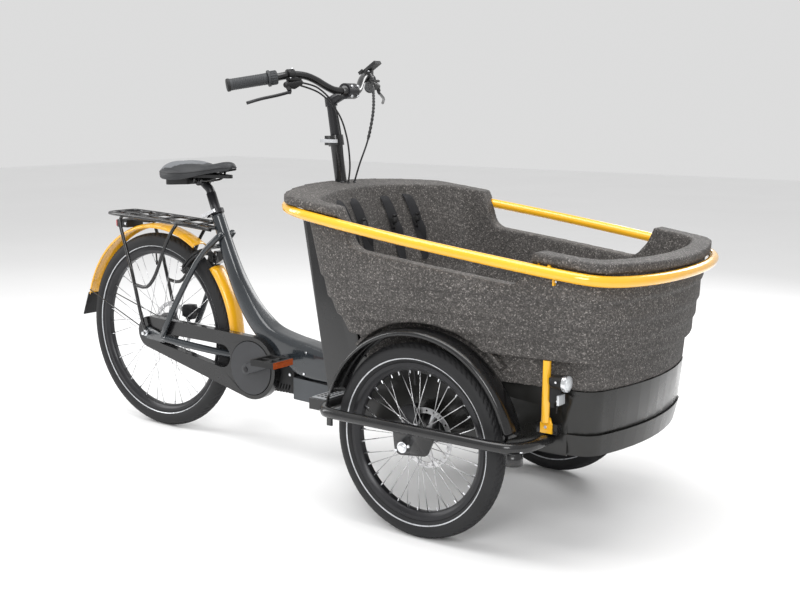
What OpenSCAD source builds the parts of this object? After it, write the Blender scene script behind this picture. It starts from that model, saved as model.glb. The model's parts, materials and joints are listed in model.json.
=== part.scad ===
// Three-wheeled cargo bicycle: an open moulded box between two small front wheels, which steers as
// one unit on a pivot under the box, and a belt-driven rear frame with a motor at the cranks.
// Every module is drawn in the bicycle's own axes: X forward, Y left, Z up, with X = 0 at the rear
// axle and Z = 0 on the ground. place() then moves X = 0 to the middle of the overall length.

/* [Wheels] */
// Outer radius of the rear tyre
rear_wheel_r = 334; // [330:1:338]
// Outer radius of each front tyre
front_wheel_r = 256; // [252:1:260]
// Radius of the round section of the tyres
tyre_r = 27; // [26:0.5:28]
// Distance from the rear axle to the front axle
wheelbase = 1330; // [1320:1:1340]
// Distance from the middle plane to each front wheel
half_track = 354.5; // [352:0.5:357]
// Number of spokes in each wheel
spoke_count = 36; // [28:4:36]

/* [Cargo box] */
// Height of the rim's plane above the ground, at the rear axle
rim_height = 976; // [966:1:986]
// Fall of the rim's plane, in mm for each mm forward
rim_fall = 0.124; // [0.11:0.002:0.14]
// Largest half-width of the rim
rim_half_w = 391; // [386:1:396]
// Rearmost point of the rim
rim_back_x = 767; // [762:1:770]
// Foremost point of the rim
rim_front_x = 1890; // [1885:1:1895]
// Thickness of the box's walls
wall = 36; // [30:1:40]
// Height of the box's underside
box_bottom_z = 432; // [428:1:436]

/* [Rear frame] */
// Position of the crank axle ahead of the rear axle
crank_x = 468; // [464:1:472]
// Height of the crank axle
crank_z = 273; // [270:1:276]
// Length of a crank arm between its axes
crank_len = 170; // [165:2.5:172.5]
// Position of the steering pivot ahead of the rear axle
pivot_x = 1160; // [1150:1:1170]
// Radius of the seat post
seatpost_r = 15.8; // [15.4:0.1:15.8]

/* [Guards and bars] */
// Radius of the yellow rail around the box
rail_r = 14; // [13:0.5:15]
// Distance from the middle plane to the guard bars
guard_y = 425; // [422:1:428]
// Height of the guard bars
guard_z = 305; // [300:1:310]
// Half-width of the handlebar across the grip ends
bar_half_w = 325; // [315:1:335]

/* [Hidden] */

black = [0.10, 0.10, 0.11];
dark_grey = [0.22, 0.23, 0.24];
mid_grey = [0.36, 0.37, 0.38];
silver = [0.75, 0.76, 0.78];
yellow = [0.93, 0.70, 0.16];
rubber = [0.16, 0.16, 0.17];
red = [0.7, 0.08, 0.08];

// Running clearance of a shaft in its hole.
run_gap = 0.05;

// The mudflap's hem is the rearmost point, and the rail's front the foremost.
mudflap_back = 377;
box_rail_front = rim_front_x - 2;
mid_x = (box_rail_front + rail_r - mudflap_back) / 2;

rear_axle_r = 6;
axle_reach = 93;
front_axle_r = 6;
kingpin_r = 14;
crank_axle_r = 11;
belt_y = -48;
crank_angle = 19;
seat_lean = 22;
seat_clamp = [274, 0, 747];
stem_lean = 9;
stem_foot = [790, 0, 881];
stem_r = 14;
bar_centre = [822, 0, 1142];
lock_angle = 53.5;
lock_radius = 300;
lock_ring_r = 54.5;

module place() {
    translate([-mid_x, 0, 0]) children();
}

// ---------------------------------------------------------------- shared shapes

// Height of the rim's plane at a given distance ahead of the rear axle.
function rim_z(x) = rim_height - rim_fall * x;

function unit(v) = v / norm(v);

// Point at parameter t between b and c on a Catmull-Rom curve through a, b, c, d.
function curve_point(a, b, c, d, t) =
    0.5 * (2 * b + (c - a) * t + (2 * a - 5 * b + 4 * c - d) * t * t
        + (3 * b - a - 3 * c + d) * t * t * t);

// An open smooth curve through a list of points, with `steps` points for each span.
function smooth(pts, steps) = [
    for (i = [0 : len(pts) - 2])
        let (
            a = pts[max(i - 1, 0)],
            b = pts[i],
            c = pts[i + 1],
            d = pts[min(i + 2, len(pts) - 1)]
        )
        for (k = [0 : steps - 1]) curve_point(a, b, c, d, k / steps),
    pts[len(pts) - 1]
];

// Direction of a path at one of its points.
function tangent(path, i) =
    unit(path[min(i + 1, len(path) - 1)] - path[max(i - 1, 0)]);

// A ring of points around `centre`, square to the path: half-size a across `side`, b along it. A
// power above 2 squares the ring off.
function ring(centre, along, side, a, b, sides, power = 2) =
    let (
        across = unit(cross(along, side)),
        up = unit(cross(across, along))
    )
    [
        for (k = [0 : sides - 1])
            let (
                u = cos(360 * k / sides),
                v = sin(360 * k / sides)
            )
            centre + across * a * sign(u) * pow(abs(u), 2 / power)
                + up * b * sign(v) * pow(abs(v), 2 / power)
    ];

// A solid skinned over equal rings of points, and capped at both ends.
module skin(rings) {
    n = len(rings[0]);
    m = len(rings);
    walls = [
        for (i = [0 : m - 2])
            for (j = [0 : n - 1])
                let (
                    p = i * n + j,
                    q = i * n + (j + 1) % n,
                    r = (i + 1) * n + (j + 1) % n,
                    s = (i + 1) * n + j
                )
                each [[p, q, r], [p, r, s]]
    ];
    caps = [
        [for (j = [0 : n - 1]) n - 1 - j],
        [for (j = [0 : n - 1]) (m - 1) * n + j]
    ];
    polyhedron(points = [for (r = rings) each r], faces = concat(walls, caps));
}

// A round tube along a path. `side` is any direction that the path never runs along.
module tube(path, r, side, sides = 12) {
    skin([
        for (i = [0 : len(path) - 1])
            ring(path[i], tangent(path, i), side, r, r, sides)
    ]);
}

// A straight round bar between two points.
module bar(a, b, r, fn = 24) {
    d = b - a;
    translate(a)
        rotate([0, acos(d[2] / norm(d)), atan2(d[1], d[0])])
            cylinder(r = r, h = norm(d), $fn = fn);
}

// A cylinder whose axis runs along Y, from y0 to y1.
module disc_y(x, z, r, y0, y1, fn = 48) {
    translate([x, y1, z]) rotate([90, 0, 0]) cylinder(r = r, h = y1 - y0, $fn = fn);
}

// A side outline, drawn in X and Z, extruded from y0 to y1.
module plate_y(y0, y1) {
    translate([0, y1, 0]) rotate([90, 0, 0]) linear_extrude(y1 - y0) children();
}

// A section drawn as [radius, offset along the axle], turned about a wheel's axle.
module turned_y(x, z, fn = 96) {
    translate([x, 0, z]) rotate([90, 0, 0]) rotate_extrude($fn = fn) children();
}

module mirrored() {
    children();
    mirror([0, 1, 0]) children();
}

module box(low, high) {
    translate(low) cube(high - low);
}

// ---------------------------------------------------------------- wheels

// A tyre is a round casing, open towards the rim's bed.
module tyre(x, y, wheel_r) {
    casing = 3.5;
    bead_r = wheel_r - 53;
    color(rubber) translate([0, y, 0]) turned_y(x, wheel_r)
        difference() {
            translate([wheel_r - tyre_r, 0]) circle(r = tyre_r, $fn = 48);
            translate([wheel_r - tyre_r, 0]) circle(r = tyre_r - casing, $fn = 48);
            translate([0, -tyre_r]) square([bead_r, 2 * tyre_r]);
        }
}

// A box-section rim with a flange on each side of the tyre's bead.
module rim(x, y, wheel_r) {
    flange_r = wheel_r - 49;
    bed_r = wheel_r - 53.5;
    inner_r = wheel_r - 71;
    color(black) translate([0, y, 0]) turned_y(x, wheel_r)
        polygon([
            [inner_r, -8], [inner_r + 6, -14], [inner_r + 12, -17.5], [flange_r, -17.5],
            [flange_r, -16], [bed_r, -16], [bed_r, 16], [flange_r, 16],
            [flange_r, 17.5], [inner_r + 12, 17.5], [inner_r + 6, 14], [inner_r, 8]
        ]);
}

// Crossed spokes, alternately to the two flanges, and alternately leaning forwards and back.
module spokes(x, y, wheel_r, flange_r, flange_y) {
    lean = 42;
    head_offset = 1.6;
    rim_bed = wheel_r - 68;
    color(silver) for (k = [0 : spoke_count - 1]) {
        side = k % 2 == 0 ? 1 : -1;
        turn = floor(k / 2) % 2 == 0 ? 1 : -1;
        at_rim = 360 * k / spoke_count;
        at_hub = at_rim + lean * turn;
        bar(
            [x + flange_r * cos(at_hub), y + side * (flange_y + head_offset * turn),
                wheel_r + flange_r * sin(at_hub)],
            [x + rim_bed * cos(at_rim), y + side * 4, wheel_r + rim_bed * sin(at_rim)],
            1, 16);
    }
}

// A brake rotor is a thin perforated ring on a five-armed carrier.
module rotor(x, y, z, r) {
    carrier_r = 24;
    arm_count = 5;
    hole_count = 20;
    translate([x, y, z]) rotate([90, 0, 0]) {
        difference() {
            cylinder(r = r, h = 2, center = true, $fn = 96);
            cylinder(r = r - 15, h = 4, center = true, $fn = 96);
            for (k = [0 : hole_count - 1])
                rotate(360 * k / hole_count) translate([r - 7.5, 0, 0])
                    cylinder(r = 3.2, h = 4, center = true, $fn = 16);
        }
        difference() {
            union() {
                cylinder(r = carrier_r, h = 2, center = true, $fn = 48);
                for (k = [0 : arm_count - 1])
                    rotate(360 * k / arm_count)
                        translate([carrier_r - 3, -5, -1]) cube([r - 15 - carrier_r + 5, 10, 2]);
            }
            cylinder(r = 17, h = 4, center = true, $fn = 48);
        }
    }
}

// ---------------------------------------------------------------- rear frame

// The seat tube sweeps down and forward into one deep beam, which ends in the steering head.
// Each entry is [x, z, half-height, half-width] of the section.
frame_line = [
    [274, 747, 21, 21], [301, 681, 21.5, 21], [332, 604, 25, 22], [366, 534, 28, 24],
    [410, 466, 31, 28], [458, 414, 32, 34], [512, 374, 35, 38], [582, 346, 43, 42],
    [662, 320, 56, 44], [770, 307, 50, 44], [900, 298, 46, 42], [1010, 290, 42, 40],
    [1120, 281, 38, 36]
];
head_low = 226;
head_high = 336;

module main_frame() {
    line = smooth(frame_line, 3);
    path = [for (p = line) [p[0], 0, p[1]]];
    seat_axis = [-sin(seat_lean), 0, cos(seat_lean)];
    color(dark_grey) difference() {
        union() {
            skin([
                for (i = [0 : len(path) - 1])
                    ring(path[i], tangent(path, i), [0, 1, 0],
                        line[i][2], line[i][3], 24, 2 + 3 * min(i / 21, 1))
            ]);
            translate([pivot_x, 0, head_low])
                cylinder(r = 38, h = head_high - head_low, $fn = 64);
        }
        bar(seat_clamp - seat_axis * 130, seat_clamp + seat_axis * 10,
            seatpost_r + run_gap, 48);
        translate([pivot_x, 0, head_low - 1])
            cylinder(r = kingpin_r + run_gap, h = head_high - head_low + 2, $fn = 48);
    }
}

// The pin fixed in the steering head. The front unit's two lugs turn on its ends.
module steering_pin() {
    color(silver) translate([pivot_x, 0, head_low - 24])
        cylinder(r = kingpin_r, h = head_high - head_low + 48, $fn = 48);
}

// Chain stays, seat stays, the bridge between them and the plates that hold the rear axle.
chain_stay = [
    [74, 68, 324], [120, 66, 319], [190, 59, 312], [290, 45, 303], [350, 36, 299], [402, 28, 297]
];
seat_stay = [
    [318, 24, 690], [272, 39, 648], [226, 52, 592], [168, 65, 494], [120, 74, 408], [80, 74.5, 336]
];

module rear_stays() {
    color(dark_grey) {
        mirrored() {
            tube(smooth(chain_stay, 2), 12, [0, 0, 1], 12);
            tube(smooth(seat_stay, 2), 10, [1, 0, 0], 12);
            difference() {
                plate_y(66, 73) hull() {
                    translate([0, rear_wheel_r]) circle(r = 20, $fn = 32);
                    translate([78, 322]) circle(r = 14, $fn = 32);
                }
                disc_y(0, rear_wheel_r, rear_axle_r + run_gap, 60, 80, 32);
            }
        }
        bar([262, -38, 641], [262, 38, 641], 8);
    }
}

// The lower grey shell of the beam, a trough that holds the battery.
cover_x0 = 628;
cover_x1 = 985;
cover_top = [262, 246];

module battery_cover() {
    color(mid_grey) difference() {
        plate_y(-41, 41)
            polygon([[cover_x0, cover_top[0]], [cover_x0, 192], [900, 184], [cover_x1 - 20, 192],
                [cover_x1, 226], [cover_x1, cover_top[1]]]);
        plate_y(-38, 38)
            polygon([[cover_x0 + 3, 270], [cover_x0 + 3, 195], [900, 187], [cover_x1 - 22, 195],
                [cover_x1 - 3, 227], [cover_x1 - 3, 270]]);
    }
}

module battery_pack() {
    color(black) box([cover_x0 + 8, -36, 197], [cover_x1 - 28, 36, 243]);
}

// The motor fills the corner under the beam, with cooling fins at its lower front.
module drive_motor() {
    fin_count = 5;
    color(black) difference() {
        union() {
            plate_y(-31, 48) hull() {
                translate([crank_x, crank_z]) circle(r = 70, $fn = 48);
                translate([560, 252]) circle(r = 48, $fn = 48);
                translate([600, 262]) square([24, 26]);
                translate([600, 205]) square([24, 10]);
            }
            plate_y(-20, 20) hull() {
                translate([560, 300]) circle(r = 14, $fn = 24);
                translate([500, 320]) circle(r = 14, $fn = 24);
            }
        }
        for (k = [0 : fin_count - 1])
            translate([540 + k * 12, -40, 190]) rotate([0, 20, 0]) cube([5, 25, 46]);
        disc_y(crank_x, crank_z, crank_axle_r + run_gap, -60, 60);
    }
}

// ---------------------------------------------------------------- rear wheel and its fittings

module rear_tyre() { tyre(0, 0, rear_wheel_r); }
module rear_rim() { rim(0, 0, rear_wheel_r); }
module rear_spokes() { spokes(0, 0, rear_wheel_r, 50, 26); }

// The geared hub, with the rotor bolted to its left face.
module rear_hub() {
    color(black) turned_y(0, rear_wheel_r)
        polygon([
            [rear_axle_r + run_gap, -40], [rear_axle_r + run_gap, 38], [22, 38], [26, 32],
            [54, 29], [54, 23], [44, 18], [44, -18], [54, -23], [54, -29], [34, -33], [30, -40]
        ]);
    color(silver) translate([0, 48, 0]) rotor(0, 0, rear_wheel_r, 90);
    color(black) difference() {
        disc_y(0, rear_wheel_r, 17, 38, 48);
        disc_y(0, rear_wheel_r, rear_axle_r + run_gap, 30, 60, 32);
    }
}

module rear_axle() {
    color(silver) {
        disc_y(0, rear_wheel_r, rear_axle_r, -axle_reach, axle_reach, 32);
        mirrored() disc_y(0, rear_wheel_r, 11, 73.5, 81, 6);
    }
}

module rear_caliper() {
    color(black) difference() {
        plate_y(36, 62)
            polygon([[52, 384], [96, 372], [112, 398], [104, 424], [66, 422], [50, 402]]);
        disc_y(0, rear_wheel_r, 92, 45, 51, 96);
        plate_y(36, 45) translate([44, 360]) square([14, 70]);
    }
    color(black) bar([92, 58, 392], [118, 62, 408], 6);
}

// Belt drive: both pulleys run in the plane belt_y.
front_pulley_r = 80.5;
rear_pulley_r = 38.5;
front_teeth = 46;
rear_teeth = 22;

module toothed_pulley(r, teeth, width) {
    difference() {
        cylinder(r = r, h = width, center = true, $fn = 96);
        for (k = [0 : teeth - 1])
            rotate(360 * k / teeth) translate([r, 0, 0])
                cylinder(r = 2.4, h = width + 2, center = true, $fn = 16);
    }
}

module front_pulley() {
    color(dark_grey) translate([crank_x, belt_y, crank_z]) rotate([90, 0, 0]) difference() {
        union() {
            toothed_pulley(front_pulley_r - 2, front_teeth, 10);
            translate([0, 0, 13]) cylinder(r = 86, h = 3, $fn = 96);
            cylinder(r = 40, h = 14, $fn = 64);
        }
        cylinder(r = crank_axle_r + run_gap, h = 60, center = true, $fn = 48);
    }
}

module rear_pulley() {
    color(dark_grey) translate([0, belt_y, rear_wheel_r]) rotate([90, 0, 0]) difference() {
        toothed_pulley(rear_pulley_r - 2, rear_teeth, 12);
        cylinder(r = rear_axle_r + run_gap, h = 30, center = true, $fn = 48);
    }
}

// The outline of a loop round both pulleys, `grow` outside their pitch circles.
module belt_outline(grow) {
    hull() {
        translate([crank_x, crank_z]) circle(r = front_pulley_r + grow, $fn = 72);
        translate([0, rear_wheel_r]) circle(r = rear_pulley_r + grow, $fn = 48);
    }
}

module drive_belt() {
    color(black) plate_y(belt_y - 5, belt_y + 5) difference() {
        belt_outline(2.2);
        belt_outline(-1.6);
    }
}

// A thin two-sided guard round both runs of the belt, with a long window between them.
module belt_guard() {
    skin_t = 2.5;
    color(black) difference() {
        plate_y(-62, -34) difference() {
            hull() {
                translate([crank_x, crank_z]) circle(r = 102, $fn = 72);
                translate([0, rear_wheel_r]) circle(r = 54, $fn = 48);
            }
            hull() {
                translate([62, 319]) circle(r = 18, $fn = 32);
                translate([340, 296]) circle(r = 38, $fn = 32);
            }
        }
        plate_y(-62 + skin_t, -34 - skin_t) difference() {
            hull() {
                translate([crank_x, crank_z]) circle(r = 102 - skin_t, $fn = 72);
                translate([0, rear_wheel_r]) circle(r = 54 - skin_t, $fn = 48);
            }
            hull() {
                translate([62, 319]) circle(r = 18 + skin_t, $fn = 32);
                translate([340, 296]) circle(r = 38 + skin_t, $fn = 32);
            }
        }
        disc_y(crank_x, crank_z, 88, -70, -50, 96);
        disc_y(crank_x, crank_z, 76, -50, -30, 96);
        disc_y(0, rear_wheel_r, 36, -50, -30, 64);
        disc_y(0, rear_wheel_r, 22, -70, -50, 64);
    }
}

// Cranks on one axle. The right arm points forward and a little up, and the left one opposite.
pedal_dx = crank_len * cos(crank_angle);
pedal_dz = crank_len * sin(crank_angle);

module crank_arm(y0, y1, turn) {
    difference() {
        translate([crank_x, 0, crank_z]) rotate([0, turn, 0]) plate_y(y0, y1) {
            circle(r = 17, $fn = 48);
            translate([crank_len, 0]) circle(r = 13, $fn = 48);
            polygon([[0, -16], [crank_len, -11.5], [crank_len, 11.5], [0, 16]]);
        }
        translate([crank_x, 0, crank_z]) rotate([0, turn, 0])
            disc_y(crank_len, 0, 7 + run_gap, y0 - 1, y1 + 1, 32);
    }
}

module crank_set() {
    color(black) {
        disc_y(crank_x, crank_z, crank_axle_r, -86, 86);
        crank_arm(-86, -72, -crank_angle);
        crank_arm(72, 86, 180 - crank_angle);
    }
}

// A flat pedal on its spindle, with a reflector in its front and rear edges.
module pedal(side) {
    x = crank_x + side * pedal_dx;
    z = crank_z + side * pedal_dz;
    y = -side * 86;
    s = -side;
    half_l = 46;
    color(black) translate([x, y, z]) {
        disc_y(0, 0, 7, s > 0 ? -13 : -98, s > 0 ? 98 : 13, 32);
        difference() {
            union() {
                translate([-half_l, s > 0 ? 8 : -98, -9]) cube([2 * half_l, 10, 18]);
                translate([-half_l, s > 0 ? 88 : -18, -9]) cube([2 * half_l, 10, 18]);
                translate([-half_l, s > 0 ? 8 : -98, -10]) cube([9, 90, 20]);
                translate([half_l - 9, s > 0 ? 8 : -98, -10]) cube([9, 90, 20]);
                translate([-half_l, s > 0 ? 46 : -56, -7]) cube([2 * half_l, 10, 14]);
            }
            for (e = [-1, 1])
                translate([e * (half_l - 1) - 2, s > 0 ? 24 : -82, -6]) cube([4, 58, 12]);
        }
    }
    color([0.95, 0.45, 0.1]) translate([x, y, z])
        for (e = [-1, 1])
            translate([e * (half_l - 0.5) - 1, s > 0 ? 24.5 : -81.5, -5.5]) cube([2, 57, 11]);
}

module pedal_right() { pedal(1); }
module pedal_left() { pedal(-1); }

// ---------------------------------------------------------------- rear guards, rack and lock

fender_r = 366;
fender_half_w = 31;

// An arched strip of the fender between two angles, measured from the front over the top.
module fender_arc(x, y, z, r, half_w, from, to, fn = 96) {
    sheet = 1.8;
    crown = 7;
    translate([x, y, z]) rotate([90, 0, 0]) rotate([0, 0, from])
        rotate_extrude(angle = to - from, $fn = fn) polygon([
            [r - crown * 2, -half_w], [r - crown * 0.7, -half_w * 0.88], [r, -half_w * 0.5],
            [r + 1.5, 0], [r, half_w * 0.5], [r - crown * 0.7, half_w * 0.88],
            [r - crown * 2, half_w], [r - crown * 2, half_w - sheet],
            [r - crown * 0.7 - sheet, half_w * 0.85], [r - sheet, half_w * 0.47],
            [r + 1.5 - sheet, 0], [r - sheet, -half_w * 0.47],
            [r - crown * 0.7 - sheet, -half_w * 0.85], [r - crown * 2, -half_w + sheet]
        ]);
}

// The rear fender is in two lengths, with the frame lock in the gap between them.
module rear_fender() {
    color(yellow) {
        fender_arc(0, 0, rear_wheel_r, fender_r, fender_half_w, 58, 165);
        fender_arc(0, 0, rear_wheel_r, fender_r, fender_half_w, -3, 42);
    }
}

module mudflap() {
    color(rubber) hull() {
        box([-356, -25, 424], [-353, 25, 432]);
        box([-mudflap_back, -34, 350], [3 - mudflap_back, 34, 354]);
    }
}

// Wire stays from the axle plates to the fender's rear edge, a small bracket under the rack and
// one ahead of the lock.
module fender_stays() {
    color(black) mirrored() bar([-12, 64, 338], [-336, 33.8, 444], 1.9, 12);
    color(mid_grey) plate_y(-15, 15)
        polygon([[262, 592], [268, 628], [292, 628], [310, 604], [276, 585]]);
}

// A rack of welded round bar: a platform with cross bars, two legs and a bag loop on each side.
rack_half_w = 62;

module rack_side() {
    leg_y = 76;
    tube(smooth([[-195, 0, 729], [-192, 40, 729], [-160, rack_half_w, 728],
        [60, rack_half_w, 719], [225, rack_half_w - 2, 709], [276, 31, 699]], 3), 6.5, [0, 0, 1], 10);
    tube(smooth([[-118, rack_half_w, 724], [-112, leg_y, 690], [-68, leg_y, 560],
        [-26, leg_y, 400], [-9, leg_y, 350]], 2), 6, [1, 0, 0.2], 10);
    tube(smooth([[150, rack_half_w, 714], [140, leg_y, 690], [103, leg_y, 636],
        [56, leg_y, 540], [10, leg_y, 492], [-46, leg_y, 494]], 3), 6, [0, 1, 0.3], 10);
}

module rear_rack() {
    cross_bars = [-120, -40, 40, 120, 200];
    color(black) {
        mirrored() rack_side();
        for (x = cross_bars)
            bar([x, -rack_half_w, 727.3 - (x + 120) * 0.052],
                [x, rack_half_w, 727.3 - (x + 120) * 0.052], 4.5, 16);
        bar([-195, 0, 729], [262, 0, 704.5], 4.5, 16);
        mirrored() disc_y(-9, 351, 7, 73.5, 79, 24);
        bar([263, -36, 701], [263, 36, 701], 6);
    }
}

// The lamp under the rack: a black body with a red lens facing backwards.
module rear_light() {
    color(black) {
        box([-176, -36, 680], [-124, 36, 706]);
        box([-124, -12, 700.5], [-40, 12, 706]);
        box([-110, -8, 703], [-40, 8, 716]);
    }
    color(red) box([-184, -33, 682], [-176, 33, 704]);
}

// Turns a shape drawn in the ring's plane so that the ring stands round the tyre.
module at_lock() {
    translate([lock_radius * cos(lock_angle), 0, rear_wheel_r + lock_radius * sin(lock_angle)])
        rotate([0, -lock_angle, 0]) children();
}

// The ring lock's case is a hollow ring, open towards the hub, with a slot for the bolt's knob.
module frame_lock() {
    case_angle = 230;
    slot_angle = 168;
    color(black) at_lock() difference() {
        rotate(-case_angle / 2) rotate_extrude(angle = case_angle, $fn = 96) difference() {
            translate([lock_ring_r - 8, -9]) square([17, 18]);
            translate([lock_ring_r, 0]) circle(r = 5, $fn = 24);
        }
        rotate(-104) rotate_extrude(angle = slot_angle, $fn = 96)
            translate([lock_ring_r, -2.5]) square([20, 5]);
    }
    color(black) mirrored() bar([185, 56.5, 570.5], [203, 58, 557], 6);
}

// The bolt of the ring lock runs round inside the case. Its knob stands out of the slot.
module lock_shackle() {
    knob_angle = -96;
    color(silver) at_lock() {
        rotate(-100) rotate_extrude(angle = 200, $fn = 96)
            translate([lock_ring_r, 0]) circle(r = 4.4, $fn = 24);
        rotate(knob_angle) translate([lock_ring_r, 0, 0]) rotate([0, 90, 0])
            cylinder(r = 1.9, h = 16, $fn = 16);
        rotate(knob_angle) translate([lock_ring_r + 18, 0, 0]) sphere(r = 6, $fn = 24);
    }
}

// ---------------------------------------------------------------- saddle

// Moves a shape drawn upright at the origin onto the seat tube's axis.
module at_seat() {
    translate(seat_clamp) rotate([0, -seat_lean, 0]) children();
}

module seat_collar() {
    color(black) at_seat() difference() {
        union() {
            translate([0, 0, 1.5]) cylinder(r = 24, h = 15, $fn = 48);
            translate([-42, -9, 1.5]) cube([24, 18, 15]);
        }
        cylinder(r = seatpost_r + 0.2, h = 60, center = true, $fn = 48);
        translate([-50, -1.5, 0]) cube([40, 3, 30]);
    }
}

// A clamp's lever turns about a pin beside the ears, and lies along the right side of its collar.
module clamp_lever() {
    pin_y = -18;
    disc_y(0, 0, 5.5, pin_y - 7, pin_y + 7, 32);
    translate([-6, pin_y - 14, -5]) cube([12, 14, 10]);
    translate([-6, pin_y - 16, -5]) cube([62, 6, 10]);
}

module seat_lever() {
    color(silver) at_seat() translate([-34, 0, 9]) clamp_lever();
}

module seatpost() {
    seat_axis = [-sin(seat_lean), 0, cos(seat_lean)];
    top = seat_clamp + seat_axis * 74;
    color(black) {
        bar(seat_clamp - seat_axis * 115, top, seatpost_r, 48);
        tube(smooth([top - seat_axis * 2, top + seat_axis * 12, [230, 0, 836], [213, 0, 848],
            [204, 0, 853]], 3), 14, [0, 1, 0], 16);
        bar([212, -24, 852], [212, 24, 852], 13, 32);
    }
}

module saddle_rails() {
    color(black) {
        mirrored() tube(smooth([[112, 30, 869], [140, 24, 862], [180, 22, 856], [250, 22, 856],
            [284, 18, 866], [304, 8, 884]], 3), 3.5, [0, 0.2, 1], 10);
        difference() {
            box([192, -30, 849], [232, 30, 863]);
            bar([212, -40, 852], [212, 40, 852], 13.2, 32);
        }
    }
}

// The hollow under the pad, which is `gap` smaller than the pad's own outline.
module saddle_hollow(gap, low, high) {
    hull() {
        for (side = [-1, 1])
            translate([132, side * 58, low]) cylinder(r = 26 - gap, h = high - low, $fn = 32);
        translate([226, 0, low]) cylinder(r = 46 - gap, h = high - low, $fn = 32);
        translate([326, 0, low]) cylinder(r = 18 - gap, h = high - low, $fn = 32);
    }
}

// A plate inside the pad, with a rounded bumper under its rear half.
module saddle_base() {
    color(black) {
        saddle_hollow(4, 866.5, 877);
        hull() for (side = [-1, 1]) {
            translate([112, side * 48, 840]) cylinder(r = 16, h = 28, $fn = 32);
            translate([174, side * 38, 843]) cylinder(r = 12, h = 25, $fn = 32);
        }
    }
}

// Sections of the saddle from tail to nose: [x, half-width, top, bottom of the skirt].
saddle_sections = [
    [74, 50, 896, 878], [80, 65, 904, 872], [92, 79, 911, 866], [112, 89, 916, 861],
    [140, 94, 918, 859], [170, 93, 917, 859], [200, 84, 913, 863], [226, 66, 909, 870],
    [252, 48, 909, 877], [284, 36, 914, 883], [316, 29, 919, 888], [338, 22, 917, 891],
    [350, 12, 910, 896]
];

module saddle_pad() {
    color(mid_grey) difference() {
        skin([
            for (s = saddle_sections)
                ring([s[0], 0, (s[2] + s[3]) / 2], [1, 0, 0], [0, 1, 0],
                    (s[2] - s[3]) / 2, s[1], 32, 2.6)
        ]);
        saddle_hollow(0, 830, 875);
    }
}

// ---------------------------------------------------------------- cargo box

// Plan outline of the rim: bowed front, back and sides with round corners, drawn `inset` inside
// the rim's own edge.
module box_plan(inset, back = 0, front = 0) {
    corner = 62;
    front_r = 820;
    back_r = 640;
    side_r = 3400;
    offset(r = corner) offset(delta = -corner - inset) intersection() {
        translate([rim_front_x - front - front_r, 0]) circle(r = front_r, $fn = 96);
        translate([rim_back_x + back + back_r, 0]) circle(r = back_r, $fn = 72);
        translate([1240, rim_half_w - side_r]) circle(r = side_r, $fn = 240);
        translate([1240, side_r - rim_half_w]) circle(r = side_r, $fn = 240);
    }
}

module slab(z, inset, back = 0, front = 0) {
    translate([0, 0, z]) linear_extrude(0.2) box_plan(inset, back, front);
}

// The outside of the box is made of strakes, each stepping in below the one above. An entry is
// [low z, high z, inset at the bottom, inset at the top, and how far forward its back starts at the
// bottom and at the top, and its front].
strakes = [
    [655, 900, 20, 12, 105, 50, 0],
    [598, 657, 28, 26, 118, 105, 0],
    [552, 600, 36, 34, 140, 118, 0],
    [506, 554, 44, 42, 170, 140, 0],
    [box_bottom_z, 508, 76, 70, 190, 165, -12]
];

module box_outside(grow = 0) {
    for (s = strakes)
        hull() {
            slab(s[1], s[3] - grow, s[5], s[6]);
            slab(s[0], s[2] - grow, s[4], s[6]);
        }
}

// Everything above the rim's sloping plane, or above a plane `drop` below it.
module above_rim(drop = 0) {
    reach = 2600;
    plate_y(-600, 600)
        polygon([[0, rim_z(0) - drop], [reach, rim_z(reach) - drop], [reach, 1600], [0, 1600]]);
}

// The dip in the rim on each side, where a child climbs in.
module rim_notches() {
    floor_drop = 102;
    plate_y(-600, 600) offset(r = -30) offset(delta = 30) offset(r = 48) offset(delta = -48)
        polygon([
            [1066, 1200], [1066, 860], [1100, 790], [1118, rim_z(1118) - floor_drop],
            [1600, rim_z(1600) - floor_drop + 8], [1640, 730], [1670, 800], [1670, 1200]
        ]);
}

module box_inside() {
    hull() {
        slab(1000, 46, 28, -12);
        slab(610, 66, 112, 0);
    }
    hull() {
        slab(612, 66, 112, 0);
        slab(506, 84, 170, 4);
    }
    hull() {
        slab(508, 106, 168, 20);
        slab(box_bottom_z + wall, 110, 180, 20);
    }
}

// The wheel arches, clear of the front fenders.
module wheel_arches() {
    mirrored() disc_y(wheelbase, front_wheel_r, 306, 308, 460, 64);
}

// Four pairs of belt slots through the back wall.
belt_slots_y = [-165, -75, 75, 165];

module cargo_box() {
    lip = 24;
    color(dark_grey) difference() {
        union() {
            box_outside();
            intersection() {
                hull() {
                    slab(960, 0);
                    slab(700, 4);
                }
                above_rim(lip);
            }
        }
        above_rim();
        box_inside();
        rim_notches();
        wheel_arches();
        for (y = belt_slots_y)
            box([780, y - 4, 806], [930, y + 4, 846]);
        bar(column_point(400), column_point(1000), column_r + 1.5, 32);
    }
}

// The rail follows the box's plan under the lip, and ends behind the rear corners.
rail_plan = [
    [1888, 0], [1883, 110], [1868, 205], [1838, 292], [1790, 342], [1700, 362], [1570, 376],
    [1430, 386], [1290, 391.5], [1130, 389], [1020, 381], [940, 368], [876, 338], [832, 284],
    [800, 204]
];
rail_drop = 40;

module box_rail() {
    half = [for (p = rail_plan) [p[0], p[1], rim_z(p[0]) - rail_drop]];
    other = [for (i = [len(half) - 1 : -1 : 1]) [half[i][0], -half[i][1], half[i][2]]];
    color(yellow) tube(smooth(concat(other, half), 3), rail_r, [0, 0, 1], 14);
}

// ---------------------------------------------------------------- steering column and its shell

column_r = 17.5;
column_top = 1012;

// The point on the column's axis at a given height.
function column_point(z) =
    [stem_foot[0] - (z - stem_foot[2]) * tan(stem_lean), 0, z];

steer_limit = 28;

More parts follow.
